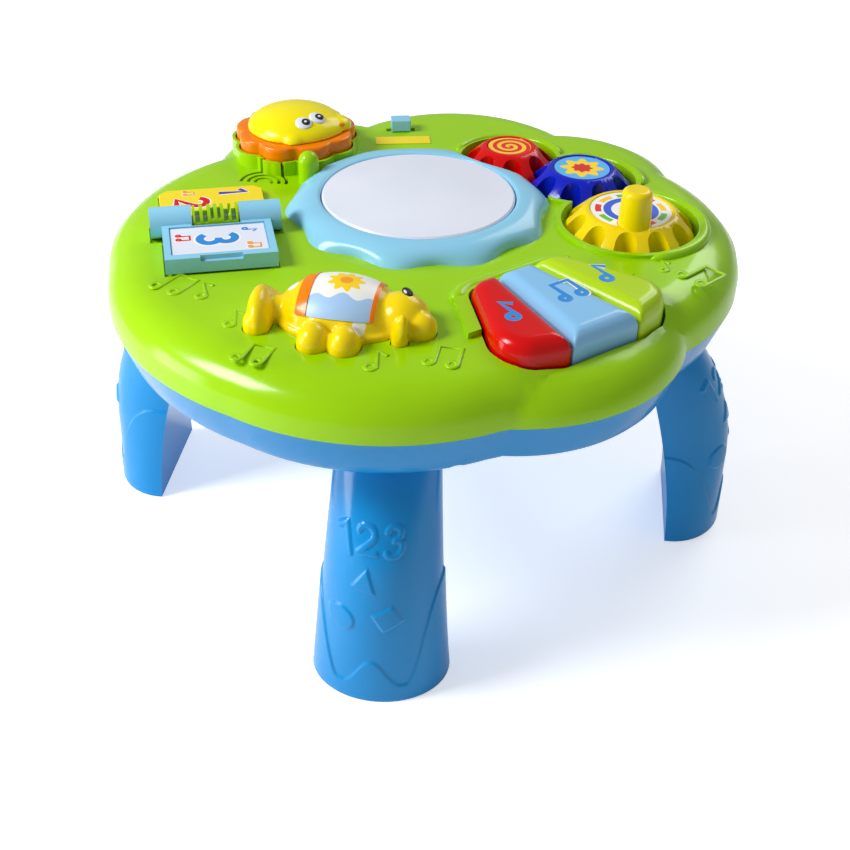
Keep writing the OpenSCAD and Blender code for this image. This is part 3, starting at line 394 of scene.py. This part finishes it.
def bend_grid(across, along, bend):
    """A grid whose every point goes where bend(u, v) says, with u and v from 0 to 1."""
    shape = bmesh.new()
    bmesh.ops.create_grid(shape, x_segments=across, y_segments=along, size=0.5)
    for point in shape.verts:
        point.co = bend(point.co.x + 0.5, point.co.y + 0.5)
    bmesh.ops.remove_doubles(shape, verts=shape.verts, dist=weld)
    bmesh.ops.recalc_face_normals(shape, faces=shape.faces)
    return shape


# %% Room for the rim
top_z = 0.159
drum_at = Vector((-0.002, 0.004, 0.0))
yellow_at = (0.096, 0.001)
blue_at = (0.072996, 0.044264)
red_at = (0.036568, 0.064457)
lion_at, lion_turn = (-0.0705, 0.0595), -19.0
tuft_at = (-0.0575, 0.024)
neighbours = ((yellow_at, 0.0316), (blue_at, 0.0267), (red_at, 0.0242), (lion_at, 0.0330),
              (tuft_at, 0.0055))
rim_steps = 360
ease_span, ease_stride, ease_per_degree = 14, 2, 0.00004


def room(angle):
    """How far the rim may reach in a direction before it meets a neighbour."""
    reach = 1.0
    for place, radius in neighbours:
        away = Vector(place) - drum_at.to_2d()
        along = away.dot(Vector((math.cos(angle), math.sin(angle))))
        miss = away.length_squared - along * along
        if along > 0 and miss < radius * radius:
            reach = min(reach, along - math.sqrt(radius * radius - miss))
    return reach


def eased_room(step):
    """The room in a direction, eased over the degrees beside it into a neighbour's place."""
    return min(room(math.radians(step + apart)) + ease_per_degree * apart * apart
               for apart in range(-ease_span, ease_span + 1, ease_stride))


rim_room = [eased_room(step) for step in range(rim_steps + 1)]
print("the nearest neighbour leaves", round(min(rim_room) * 1000, 1), "mm")

# %% Drum rim
drum_r, skin_r, skin_gap, drum_h = 0.060, 0.045, 0.002, 0.007
scallops, scallop, scallop_turn = 10, 0.0022, math.radians(148)
shoulder, clear, lip_r, lip_drop, drop_from = 0.00275, 0.0004, 0.0016, 0.004, 0.7
# rows of the grid: up to the crest, round the inner lip, down inside, and back out underneath
rim_rows, crest_row, lip_row, foot_row = 25, 18, 21, 23


def rim_point(u, v):
    """The point of the rim at a part of the way round the drum and along its profile."""
    angle, row = 2 * math.pi * u, v * rim_rows
    rise = unit(row / crest_row)
    swell = -scallop * math.cos(scallops * (angle + scallop_turn))
    space = rim_room[round(u * rim_steps)]
    reach = (drum_r + swell * (1 - rise)) * (1 - rise) + (skin_r + skin_gap) * rise
    reach += shoulder * math.sin(math.pi * rise)
    reach = min(reach, space - clear * (1 - rise))
    height = top_z + drum_h * math.sin(math.pi / 2 * rise)
    inward = unit((row - crest_row) / (lip_row - crest_row))
    reach -= lip_r * math.sin(inward * math.pi / 2)
    height -= lip_r * (1 - math.cos(inward * math.pi / 2)) + lip_drop * max(0.0, inward - drop_from)
    height += (top_z - height) * unit((row - lip_row) / (foot_row - lip_row))
    foot = min(drum_r + swell, space - clear)
    reach += (foot - reach) * unit((row - foot_row) / (rim_rows - foot_row))
    return drum_at + Vector((reach * math.cos(angle), reach * math.sin(angle), height))


rim = bend_grid(rim_steps, rim_rows, rim_point)
print("the drum rim has", len(rim.faces), "faces")
place_piece(rim, "drum_rim_cushion", pale_blue, "table", "pale_blue_abs", ["drum_rim"])

# %% [markdown]
# A leg is a hollow D-shaped column: its face is half an ellipse that swells towards the foot, and
# its back is flat. The same bent grid makes it in one sheet, which starts inside under the ceiling,
# runs down the inner wall, turns round the foot and climbs the face. Its first and last rows close
# to a line, as roofs. A wavy cuff, three numbers and three plain shapes stand proud of the face, so
# the grid is lifted there by a soft-edged height.

# %% Leg outline, in millimetres
leg_top, leg_reach, leg_wall, relief = 119.0, 157.0, 2.6, 0.8
back_foot, back_lean, back_power = 129.5, 28.0, 1.8
straight_to, face_lean, face_power = 35.0, 37.0, 2.2
half_foot, half_taper, half_power = 30.0, 8.5, 0.9
cuff_middle, wave_half, wave_z, wave_rise = -1.0, 13.0, 16.8, 7.0
side_z, side_rise, side_start, side_run = 9.8, 42.0, 2.0, 12.0


def leg_section(z, grow):
    """How far the leg's back and face stand from the middle of the table, and its half width."""
    rise = unit(z / leg_top)
    bend_in = max(0.0, (z - straight_to) / (leg_top - straight_to)) ** face_power
    return (back_foot - back_lean * rise ** back_power - grow,
            leg_reach - face_lean * bend_in + grow,
            half_foot - half_taper * rise ** half_power + grow)


def eased(value):
    """The value, held between 0 and 1, with a soft start and a soft end."""
    value = unit(value)
    return value * value * (3.0 - 2.0 * value)


def cuff_top(t):
    """Height of the cuff's wavy edge, t across the face."""
    beyond = abs(t - cuff_middle) - wave_half
    if beyond < 0:
        return wave_z + wave_rise * math.cos(math.pi * (t - cuff_middle) / wave_half)
    return side_z + side_rise * eased((beyond - side_start) / side_run)


# %% Raised figures on a leg
def arc(cx, cy, radius, start, end, count=14):
    """Points along a circle from one angle to another, in degrees."""
    steps = [math.radians(start + (end - start) * i / count) for i in range(count + 1)]
    return [(cx + radius * math.cos(a), cy + radius * math.sin(a)) for a in steps]


leg_digits = [[Vector(point) for point in line] for line in (
    [(-16.2, 82.6), (-12.8, 85.6), (-10.8, 74.4)],
    arc(-4.0, 83.8, 3.3, 170, -35, 9) + [(-7.3, 76.2), (-0.2, 76.6)],
    arc(7.0, 84.2, 2.8, 160, -80, 9),
    arc(7.2, 78.6, 3.4, 80, -150, 9))]
triangle = [Vector(point) for point in ((-2.9, 71.5), (-11.0, 60.5), (1.2, 58.6))]
square_at, square_half, square_turn = Vector((5.9, 47.2)), 5.3, math.radians(30)
disc_at, disc_r = Vector((-14.2, 43.7)), 6.5
stroke_half, edge_soft = 1.25, 1.3
shapes_z, digits_z, digits_end_z = 36.0, 73.0, 88.0


def from_line(place, start, end):
    """How far a place is from a straight stroke between two points."""
    along = end - start
    part = unit((place - start).dot(along) / along.length_squared)
    return (place - start - part * along).length


def inside_shapes(place):
    """How far a place lies inside the nearest of the three shapes, in millimetres."""
    sides = []
    for first, second in zip(triangle, triangle[1:] + triangle[:1]):
        edge = (second - first).normalized()
        sides.append(edge.x * (place.y - first.y) - edge.y * (place.x - first.x))
    boxed = Matrix.Rotation(-square_turn, 2) @ (place - square_at)
    return max(min(sides), square_half - max(abs(boxed.x), abs(boxed.y)),
               disc_r - (place - disc_at).length)


def leg_relief(t, z):
    """How far the face stands proud, t across it and z up."""
    place = Vector((t, z))
    height = eased((cuff_top(t) - z) / edge_soft)
    if shapes_z < z < digits_z:
        height = max(height, eased(inside_shapes(place) / edge_soft))
    if digits_z < z < digits_end_z:
        near = min(from_line(place, a, b) for line in leg_digits for a, b in zip(line, line[1:]))
        height = max(height, math.sqrt(max(0.0, 1.0 - (near / stroke_half) ** 2)))
    return relief * height


# %% Bend a leg
# parts of the grid's width: a flat strip on either side of the face, and the rest is the back
strip_part, face_part, strip_w = 0.0125, 0.8625, 2.0
# parts of its length: the inner roof, the inner wall, the foot, the face, and the outer roof
roof_part, inner_part, lip_part, shut_part, roof_drop = 0.01, 0.07, 0.09, 0.99, 4.0
ladder = ((0.0, 0.0), (0.2, 33.0), (0.8, 90.0), (1.0, leg_top + 0.1))


def climb(part):
    """Height on the face: the rows lie closer where the figures are."""
    for (low, z_low), (high, z_high) in zip(ladder, ladder[1:]):
        if part <= high:
            return z_low + (z_high - z_low) * (part - low) / (high - low)
    return ladder[-1][1]


def leg_point(u, v):
    """The point of the leg at a part of the way round its section and along the sheet."""
    grow, z, shut = 0.0, 0.0, 1.0
    if v < inner_part:
        down = max(0.0, v - roof_part) / (inner_part - roof_part)
        grow, z = -leg_wall, (leg_top - roof_drop) * (1.0 - down)
        shut = unit(v / roof_part)
    elif v < lip_part:
        grow = -leg_wall * (lip_part - v) / (lip_part - inner_part)
    else:
        z = climb(unit((v - lip_part) / (shut_part - lip_part)))
        shut = unit((1.0 - v) / (1.0 - shut_part))
    back, face, half = leg_section(z, grow)
    proud = v > lip_part and shut == 1.0
    sides = [half + (leg_relief(side * half, z) if proud else 0.0) for side in (-1, 1)]
    if u < strip_part:
        t, reach = -sides[0], back + strip_w * u / strip_part
    elif u <= face_part:
        angle = math.pi * ((u - strip_part) / (face_part - strip_part) - 0.5)
        t, reach = half * math.sin(angle), back + strip_w + (face - back - strip_w) * math.cos(angle)
        lift = leg_relief(t, z) if proud else 0.0
        t, reach = t + lift * math.sin(angle), reach + lift * math.cos(angle)
    elif u < face_part + strip_part:
        t, reach = sides[1], back + strip_w * (1.0 - (u - face_part) / strip_part)
    else:
        across = (u - face_part - strip_part) / (1.0 - face_part - strip_part)
        t, reach = sides[1] - across * (sides[0] + sides[1]), back
    middle = (back + face) / 2
    return Vector((middle + (reach - middle) * shut, t * shut, z)) / 1000


leg_form = bend_grid(240, 260, leg_point)
print("one leg has", len(leg_form.faces), "faces")

# %% Four legs, each with the neck that seats in the base
neck_z, leg_limit = leg_top / 1000 + 0.00005, math.radians(70)


def add_shape(shape, extra):
    """Adds a second bmesh to a first one, and frees it."""
    mesh = bpy.data.meshes.new("extra")
    extra.to_mesh(mesh)
    extra.free()
    shape.from_mesh(mesh)
    bpy.data.meshes.remove(mesh)


for node, degrees in (("leg_front", 270), ("leg_right", 0), ("leg_back", 90), ("leg_left", 180)):
    neck = merged(node)
    bmesh.ops.bisect_plane(neck, geom=neck.verts[:] + neck.edges[:] + neck.faces[:],
                           plane_co=(0, 0, neck_z), plane_no=(0, 0, 1), clear_inner=True)
    bmesh.ops.holes_fill(neck, edges=[e for e in neck.edges if e.is_boundary], sides=0)
    standing = leg_form.copy()
    bmesh.ops.transform(standing, matrix=Matrix.Rotation(math.radians(degrees), 4, "Z"),
                        verts=standing.verts)
    add_shape(neck, standing)
    piece = place_piece(neck, node + "_moulding", sky, "table", slot_of_node[node], [node],
                        leg_limit)
    print(piece.name, len(piece.data.polygons), "faces")
leg_form.free()

# %% [markdown]
# The fawn and the lion are soft toys in plastic: every limb flows into the next. Their construction
# solids get extra eggs where a limb is plumper, then the whole heap is remeshed into one skin and
# smoothed, which melts the seams. The same melting gives the keys and the mane their soft shoulders.

# %% Eggs and melting
def egg(shape, at, half, turn=0.0, tilt=0.0):
    """Adds an ellipsoid to the shape, in millimetres, tilted and then turned, in degrees."""
    made = bmesh.ops.create_uvsphere(shape, u_segments=32, v_segments=20, radius=1.0)
    pose = (Matrix.Translation([c / 1000 for c in at]) @ Matrix.Rotation(math.radians(turn), 4, "Z")
            @ Matrix.Rotation(math.radians(tilt), 4, "Y")
            @ Matrix.Diagonal([c / 1000 for c in half] + [1.0]))
    bmesh.ops.transform(shape, matrix=pose, verts=made["verts"])


def melted(shape, voxel, passes=8):
    """Remeshes a heap of solids into one skin of small squares and smooths it."""
    mesh = bpy.data.meshes.new("heap")
    shape.to_mesh(mesh)
    shape.free()
    heap = bpy.data.objects.new("heap", mesh)
    bpy.context.scene.collection.objects.link(heap)
    skin = heap.modifiers.new("skin", "REMESH")
    skin.mode = "VOXEL"
    skin.voxel_size = voxel
    bpy.context.view_layer.update()
    made = bmesh.new()
    made.from_object(heap, bpy.context.evaluated_depsgraph_get())
    bpy.data.objects.remove(heap)
    bpy.data.meshes.remove(mesh)
    for _ in range(passes):
        bmesh.ops.smooth_vert(made, verts=made.verts, factor=0.5, use_axis_x=True,
                              use_axis_y=True, use_axis_z=True)
    return made


def turned(shape, at, degrees):
    """Carries a shape from its own drawing, in metres, to its place on the table."""
    pose = Matrix.Translation((at[0], at[1], 0.0)) @ Matrix.Rotation(math.radians(degrees), 4, "Z")
    bmesh.ops.transform(shape, matrix=pose, verts=shape.verts)
    return shape


# %% Soft keys
for node, material in (("red_key", signal_red), ("blue_key", key_blue), ("green_key", key_green)):
    piece = place_piece(melted(merged(node), 0.0006), node + "_moulding", material, node,
                        slot_of_node[node], [node])
    print(piece.name, len(piece.data.polygons), "faces")

# %% Fawn
fawn_at, fawn_turn = (-0.020, -0.104), -4.0
fawn_back_at, fawn_back = (-1.0, 3.0, 160.5), (26.5, 19.5, 15.0)


def fawn_spots(place, paint):
    """Two pale spots on the fawn's coat: one on the flank and one on the rump."""
    split = place.node("ShaderNodeSeparateXYZ", Vector=place)
    axes = [Flow(split.tree, split.socket.node.outputs[i]) for i in range(3)]
    for middle, half in (((-0.0110, -0.1182, 0.1655), (0.0026, 0.0060, 0.0042)),
                         ((-0.0407, -0.0980, 0.1700), (0.0022, 0.0036, 0.0034))):
        apart = [(axis - m) / h for axis, m, h in zip(axes, middle, half)]
        spot = (apart[0] * apart[0] + apart[1] * apart[1] + apart[2] * apart[2]) < 1.0
        paint = blend(place, spot, paint, linear((0.97, 0.96, 0.93)))
    return paint


fawn_coat = moulded("fawn_coat_abs", (1.0, 0.86, 0.0), marks=fawn_spots)
fawn = merged("fawn_button")
limbs = bmesh.new()
for at, half, lean in (((24.0, 2.0, 160.5), (12.0, 12.0, 12.4), (0.0, 0.0)),
                       ((33.0, -3.0, 161.5), (6.4, 6.4, 6.8), (0.0, 0.0)),
                       ((-26.5, -1.0, 160.5), (8.0, 6.5, 7.0), (0.0, 0.0)),
                       ((-7.0, -20.0, 161.0), (6.4, 7.4, 7.2), (0.0, 0.0)),
                       ((5.6, -20.0, 161.0), (6.4, 7.4, 7.2), (0.0, 0.0)),
                       ((-32.0, -4.5, 161.5), (5.4, 14.5, 10.5), (6.0, -8.0)),
                       ((26.2, -11.5, 163.0), (2.8, 4.0, 8.6), (20.0, 6.0))):
    egg(limbs, at, half, *lean)
add_shape(fawn, turned(limbs, fawn_at, fawn_turn))
fawn = melted(fawn, 0.0007, 5)
print("the fawn has", len(fawn.faces), "faces")
place_piece(fawn, "fawn_body", fawn_coat, "fawn_button", "yellow_abs", ["fawn_button"])

# %% [markdown]
# The blanket and the two bands lie over the fawn's back. Each is a grid bent over the same
# ellipsoid as the body, lifted a little off it, and thickened.

# %% Fawn blanket
blanket_low, blanket_high = -62, 58


def over_back(from_x, to_x, lift):
    """A strip over the fawn's back, from one x to another, lifted off it."""
    def bend(u, v):
        x = from_x + (to_x - from_x) * u
        side = math.radians(blanket_low + (blanket_high - blanket_low) * v)
        girth = math.sqrt(max(0.0, 1 - (x / (fawn_back[0] + lift)) ** 2))
        return Vector((x + fawn_back_at[0],
                       fawn_back_at[1] + (fawn_back[1] + lift) * girth * math.sin(side),
                       fawn_back_at[2] + (fawn_back[2] + lift) * girth * math.cos(side))) / 1000
    return bend


def strip(name, bend, thickness, material, slot, nodes, across=40, along=40):
    shape = turned(bend_grid(across, along, bend), fawn_at, fawn_turn)
    bmesh.ops.recalc_face_normals(shape, faces=shape.faces)
    if sum(face.normal.z for face in shape.faces) < 0:
        bmesh.ops.reverse_faces(shape, faces=shape.faces)
    bmesh.ops.solidify(shape, geom=shape.faces, thickness=thickness)
    bmesh.ops.recalc_face_normals(shape, faces=shape.faces)
    return place_piece(shape, name, material, "fawn_button", slot, nodes, crease_limit)


blanket = strip("fawn_blanket", over_back(-10.8, 14.8, 0.5), 0.0006, drum_white,
                "picture_print", ["fawn_picture"])
strip("fawn_girth", over_back(-15.6, -10.8, 0.9), 0.0010, mane_orange, "orange_abs",
      ["fawn_band"], 12)
strip("fawn_collar", over_back(14.8, 16.4, 0.9), 0.0010, mane_orange, "orange_abs", [], 6)

# %% Fawn eye
def button_on(at, half, lean, body_at, body_turn):
    shape = bmesh.new()
    egg(shape, at, half, *lean)
    return turned(shape, body_at, body_turn)


for name, at, half, material, nodes in (
        ("fawn_pupil", (25.6, 5.2, 172.3), (2.2, 3.6, 1.1), chip_black, ["fawn_eye"]),
        ("fawn_glint", (25.0, 3.8, 173.3), (0.7, 1.5, 0.35), drum_white, [])):
    place_piece(button_on(at, half, (25, 14), fawn_at, fawn_turn), name, material,
                "fawn_button", "eye_print", nodes)

# %% Lion mane and face
mane = melted(merged("lion_mane"), 0.0008)
mane_fit, stem_r, stem_edge, ruff_foot = 0.988, 0.0050, 0.002, 0.1634
lion_stand = Matrix.Translation((lion_at[0], lion_at[1], 0.0))
bmesh.ops.transform(mane, matrix=lion_stand @ Matrix.Diagonal((mane_fit, mane_fit, 1.0, 1.0))
                    @ lion_stand.inverted(), verts=mane.verts)
for point in mane.verts:
    # the stem under the ruff keeps its square shoulder, which the melting rounded
    if stem_r < (point.co.xy - Vector(lion_at)).length < stem_r + stem_edge:
        point.co.z = max(point.co.z, ruff_foot)
place_piece(mane, "lion_ruff", mane_orange, "lion_button", "orange_abs", ["lion_mane"])
place_piece(melted(merged("lion_face"), 0.0006), "lion_head", face_yellow, "lion_button",
            "yellow_abs", ["lion_face"])

# %% Lion eyes
eye_layers = (("eye", (0.0, 0.0, 0.0), (4.1, 4.1, 1.3), drum_white),
              ("pupil", (1.2, 0.2, 0.9), (2.2, 2.2, 0.7), chip_black),
              ("glint", (1.6, -0.6, 1.5), (0.7, 0.7, 0.3), drum_white))
for number, (middle, lean) in enumerate((((11.2, -11.4, 179.7), (-46, 21)),
                                         ((14.4, -3.6, 180.2), (-14, 19)))):
    for layer, step, half, material in eye_layers:
        at = [m + s for m, s in zip(middle, step)]
        nodes = ["lion_eyes"] if (number, layer) == (0, "eye") else []
        place_piece(button_on(at, half, lean, lion_at, lion_turn), f"lion_{layer}_{number}",
                    material, "lion_button", "eye_print", nodes)
place_piece(button_on((23.9, 4.2, 175.9), (1.0, 1.5, 0.6), (-40, 45), lion_at, lion_turn),
            "lion_nostril", mane_orange, "lion_button", "eye_print")

# %% [markdown]
# The gear labels and the blanket are prints, so they are painted by arithmetic on Object
# coordinates: how far a point is from the middle of the print, and at what angle.

# %% Label paint
def from_middle(place, centre):
    """How far a point lies from the centre along x and along y, in metres."""
    split = place.node("ShaderNodeSeparateXYZ", Vector=place)
    return split - centre[0], Flow(split.tree, split.socket.node.outputs[1]) - centre[1]


def polar(x, y):
    """How far that is in millimetres, and in what direction, in whole turns."""
    squares = x * x + y * y
    return squares.math("SQRT", squares) * 1000, x.math("ARCTAN2", y, x) / (2 * math.pi)


def printed(name, paint):
    made, place, shader = start_material(name)
    feed(place, shader, "Base Color", paint(place))
    grain = place.node("ShaderNodeTexNoise", Vector=place, Scale=300.0, Detail=2.0)
    feed(place, shader, "Roughness", grain * 0.1 + 0.3)
    return made


# %% Patterns
def yellow_print(place):
    """A blue ring inside three coloured dashes, on white."""
    radius, angle = polar(*from_middle(place, yellow_at))
    ring = (radius > 9.0) * (radius < 12.6)
    paint = blend(place, ring, linear((0.97, 0.97, 0.95)), linear((0.12, 0.35, 0.88)))
    for shift, colour in ((0.0, (0.9, 0.12, 0.1)), (0.33, (1.0, 0.8, 0.05)),
                          (0.66, (0.4, 0.75, 0.1))):
        sector = part_of_one(angle * 3.0 + (3.0 + shift))
        dashes = (radius > 13.6) * (radius < 16.4) * (sector > 0.38) * (sector < 0.62)
        paint = blend(place, dashes, paint, linear(colour))
    return paint


def blue_print(place):
    """A yellow star of eight rays with a red middle, on pale blue."""
    radius, angle = polar(*from_middle(place, blue_at))
    wave = cosine(angle * 8.0)
    paint = blend(place, radius < (wave * 1.6 + 9.0), linear((0.35, 0.72, 0.95)),
                  linear((1.0, 0.86, 0.1)))
    return blend(place, radius < (wave * 0.6 + 4.6), paint, linear((0.86, 0.1, 0.1)))


def red_print(place):
    """A spiral of red and yellow."""
    radius, angle = polar(*from_middle(place, red_at))
    spiral = part_of_one(radius / 4.2 + angle + 4.0)
    return blend(place, spiral > 0.5, linear((0.88, 0.08, 0.05)), linear((1.0, 0.8, 0.2)))


def blanket_print(place):
    """A yellow flower over pale blue waves, on white."""
    x, y = from_middle(place, (fawn_at[0] + 0.0015, fawn_at[1] + 0.0035))
    radius, angle = polar(x, y)
    waves = (y * 1000) < (cosine(x * 90.0) * 1.3 - 9.6)
    paint = blend(place, waves, linear((0.96, 0.96, 0.94)), linear((0.66, 0.80, 0.95)))
    petals = radius < (cosine(angle * 9.0) * 1.1 + 6.6)
    paint = blend(place, petals, paint, linear((1.0, 0.84, 0.0)))
    return blend(place, radius < 2.6, paint, linear((0.98, 0.62, 0.10)))


# %% Put the prints in place
blanket.data.materials[0] = printed("blanket_print", blanket_print)
for name, paint in (("yellow_gear", yellow_print), ("blue_gear", blue_print),
                    ("red_gear", red_print)):
    finish_node(name + "_label", printed(name + "_print", paint))
finish_node("leaf_sticker", drum_white)
finish_node("switch_label", page_yellow)
print("the blanket's print has", len(blanket.data.materials[0].node_tree.nodes), "nodes")

# %% [markdown]
# Numbers and notes are drawn as strokes: a curve with a round section, flattened until it is a
# print or left proud as a moulded ridge.

# %% Strokes
figure_middle = (0.35, 0.5)
figures = {
    "1": [[(0.1, 0.78), (0.32, 1.0), (0.32, 0.0)]],
    "2": [arc(0.32, 0.72, 0.28, 165, -35) + [(0.06, 0.02), (0.62, 0.02)]],
    "3": [arc(0.3, 0.75, 0.25, 150, -80) + arc(0.3, 0.26, 0.28, 80, -150)],
    "note": [arc(0.2, 0.16, 0.15, 0, 360), [(0.35, 0.16), (0.35, 0.95), (0.62, 0.7)]],
    "pair": [arc(0.14, 0.14, 0.13, 0, 360), arc(0.72, 0.14, 0.13, 0, 360),
             [(0.27, 0.14), (0.27, 0.9), (0.85, 0.9), (0.85, 0.14)]],
}


def stroke(figure, height, radius, flat, at, degrees, z):
    """One figure, drawn height tall, as a bmesh on the table; flat squeezes its thickness."""
    curve = bpy.data.curves.new("stroke", "CURVE")
    curve.dimensions = "3D"
    curve.bevel_depth = radius
    curve.bevel_resolution = 2
    curve.use_fill_caps = True
    for line in figures[figure]:
        spline = curve.splines.new("POLY")
        spline.points.add(len(line) - 1)
        for point, (x, y) in zip(spline.points, line):
            point.co = ((x - figure_middle[0]) * height, (y - figure_middle[1]) * height, 0.0, 1.0)
    drawn = bpy.data.objects.new("stroke", curve)
    bpy.context.scene.collection.objects.link(drawn)
    bpy.context.view_layer.update()
    tube = bpy.data.meshes.new_from_object(
        drawn.evaluated_get(bpy.context.evaluated_depsgraph_get()))
    shape = bmesh.new()
    shape.from_mesh(tube)
    bpy.data.objects.remove(drawn)
    bpy.data.curves.remove(curve)
    bpy.data.meshes.remove(tube)
    pose = (Matrix.Translation((at[0], at[1], z)) @ Matrix.Rotation(math.radians(degrees), 4, "Z")
            @ Matrix.Diagonal((1.0, 1.0, flat, 1.0)))
    bmesh.ops.transform(shape, matrix=pose, verts=shape.verts)
    return shape


# %% Ridges moulded in the green top
for number, (figure, at, degrees, height) in enumerate((
        ("note", (-0.0806, -0.0878), 20, 0.014), ("note", (-0.0630, -0.1084), 10, 0.014),
        ("pair", (-0.0514, -0.1329), -15, 0.015), ("note", (-0.0019, -0.1315), 5, 0.015),
        ("pair", (0.0217, -0.1244), -5, 0.016), ("pair", (0.1250, -0.0420), -40, 0.018),
        ("note", (0.1110, -0.0378), 15, 0.010), ("pair", (-0.0960, -0.0830), -25, 0.017))):
    place_piece(stroke(figure, height, 0.0010, 0.6, at, degrees, top_z), f"top_ridge_{number}",
                lime, "table", "green_abs")

# %% [markdown]
# A print is the same stroke pressed flat: a wide white one for the halo and a narrower coloured one
# a hair higher. The page and the leaf carry plain numbers and the keys plain notes.

# %% Prints on the book and the keys
ink = {name: moulded(name + "_ink", colour, roughness=0.35, coat=0.0, drift=0.01)
       for name, colour in (("violet", (0.30, 0.22, 0.66)), ("red", (0.86, 0.02, 0.06)),
                            ("blue", (0.16, 0.55, 0.86)), ("orange", (0.93, 0.62, 0.16)),
                            ("white", (0.97, 0.97, 0.97)))}
print_h = 0.0001
hinge_at, book_degrees = Vector((-0.089, -0.034)), 18
bank_at, bank_degrees = Vector((0.047, -0.062)), 42


def on_book(x, y):
    return hinge_at + Matrix.Rotation(math.radians(book_degrees), 2) @ Vector((x, y)) / 1000


def on_bank(u, w):
    return bank_at + Matrix.Rotation(math.radians(bank_degrees), 2) @ Vector((u, -w)) / 1000


def stamp(name, figure, height, width, colour, at, degrees, z, body, slot):
    """A wide white halo, and the coloured stroke one print's height above it."""
    for layer, (paint, half, lift) in enumerate((("white", width * 0.75, 0.0),
                                                 (colour, width * 0.5, print_h))):
        place_piece(stroke(figure, height, half, print_h / half, at, degrees, z + lift),
                    f"{name}_print_{layer}", ink[paint], body, slot)


page, leaf = (0.1620, "table", "page_yellow"), (0.1660, "book_leaf", "sticker_print")
for name, figure, height, width, colour, spot, sheet in (
        ("one", "1", 0.0125, 0.0028, "violet", (10, 32), page),
        ("two", "2", 0.0140, 0.0032, "red", (-9.5, 24), page),
        ("page_note", "pair", 0.0055, 0.0010, "orange", (-10, 35), page),
        ("three", "3", 0.0150, 0.0036, "blue", (-0.5, -22), leaf),
        ("left_note", "pair", 0.0065, 0.0012, "red", (-15, -18), leaf),
        ("right_note", "note", 0.0065, 0.0012, "blue", (14, -15), leaf),
        ("low_note", "pair", 0.0060, 0.0012, "orange", (15, -29), leaf)):
    stamp(name, figure, height, width, colour, on_book(*spot), book_degrees - 90, *sheet)
for body, figure, spot in (("red_key", "note", (-25.5, 28)), ("blue_key", "pair", (2.0, 28)),
                           ("green_key", "note", (26.5, 25))):
    stamp(body, figure, 0.0150, 0.0026, "blue", on_bank(*spot), bank_degrees, 0.1674, body,
          slot_of_node[body])

# %% [markdown]
# The welt is a rolled edge behind the keys. Its path keeps one distance from the fan of the keys,
# whose outline is the hull of four circles, so each direction's farthest circle gives one point.
# Three more welts follow the open sides of the gear trays.

# %% Welt behind the keys
fan = [(side * u, w, r) for side in (-1, 1) for u, w, r in ((18, 8, 9), (28, 41, 14))]
thin_ends, roll_grid, path_step = 10.0, (160, 20), 3


def fan_point(degrees, grow):
    """The point of the fan's outline, grown, whose normal looks in a direction."""
    out = Vector((math.cos(math.radians(degrees)), math.sin(math.radians(degrees))))
    u, w, r = max(fan, key=lambda c: out.x * c[0] + out.y * c[1] + c[2])
    return Vector((u, w)) + (r + grow) * out


def rolled(path, half, rise, z):
    """A soft roll along a path on the table, half wide and rise high, that thins at both ends."""
    def bend(u, v):
        place = u * (len(path) - 1)
        step = min(int(place), len(path) - 2)
        here = path[step].lerp(path[step + 1], place - step)
        ahead = (path[step + 1] - path[step]).normalized()
        swell = min(1.0, thin_ends * u, thin_ends * (1 - u))
        girth = math.sqrt(max(0.0, swell * (2 - swell)))
        turn_by = 2 * math.pi * v
        side = half * girth * math.cos(turn_by)
        return Vector((here.x - ahead.y * side, here.y + ahead.x * side,
                       z + rise * girth * math.sin(turn_by)))
    return bend_grid(*roll_grid, bend)


behind_keys = [on_bank(*fan_point(angle, 5.4)) for angle in range(212, 333, path_step)]
place_piece(rolled(behind_keys, 0.0040, 0.0034, top_z), "key_welt", lime, "table", "green_abs")

# %% Welts round the gear trays
def round_gear(centre, reach, start, end):
    """A path round a gear from one angle to another, in degrees."""
    return [Vector(centre) + reach * Vector((math.cos(math.radians(a)), math.sin(math.radians(a))))
            for a in range(start, end, path_step)]


for name, centre, reach, start, end in (("yellow", yellow_at, 0.0344, -75, 81),
                                        ("blue", blue_at, 0.0295, 0, 108),
                                        ("red", red_at, 0.0270, 21, 171)):
    place_piece(rolled(round_gear(centre, reach, start, end), 0.0026, 0.0028, top_z),
                name + "_tray_welt", lime, "table", "green_abs")

# %% [markdown]
# The floor is a wide pale plane that glows a little. It glows more for the camera than for the
# table, so it comes out white and doesn't light the legs too much from below.

# %% Floor
floor_shape = bmesh.new()
bmesh.ops.create_grid(floor_shape, x_segments=1, y_segments=1, size=6.0)
floor_mesh = bpy.data.meshes.new("floor")
floor_shape.to_mesh(floor_mesh)
floor_shape.free()
floor = bpy.data.objects.new("floor", floor_mesh)
bpy.context.scene.collection.objects.link(floor)
floor_paint, floor_place, floor_shader = start_material("floor_paint")
floor_shader.inputs["Base Color"].default_value = (0.93, 0.93, 0.93, 1.0)
floor_shader.inputs["Roughness"].default_value = 0.6
seen_floor = floor_place.node("ShaderNodeLightPath")
feed(floor_place, floor_shader, "Emission Color",
     blend(floor_place, seen_floor, (0.35, 0.35, 0.35, 1.0), (1.0, 1.0, 1.0, 1.0)))
floor_shader.inputs["Emission Strength"].default_value = 0.50
floor_mesh.materials.append(floor_paint)
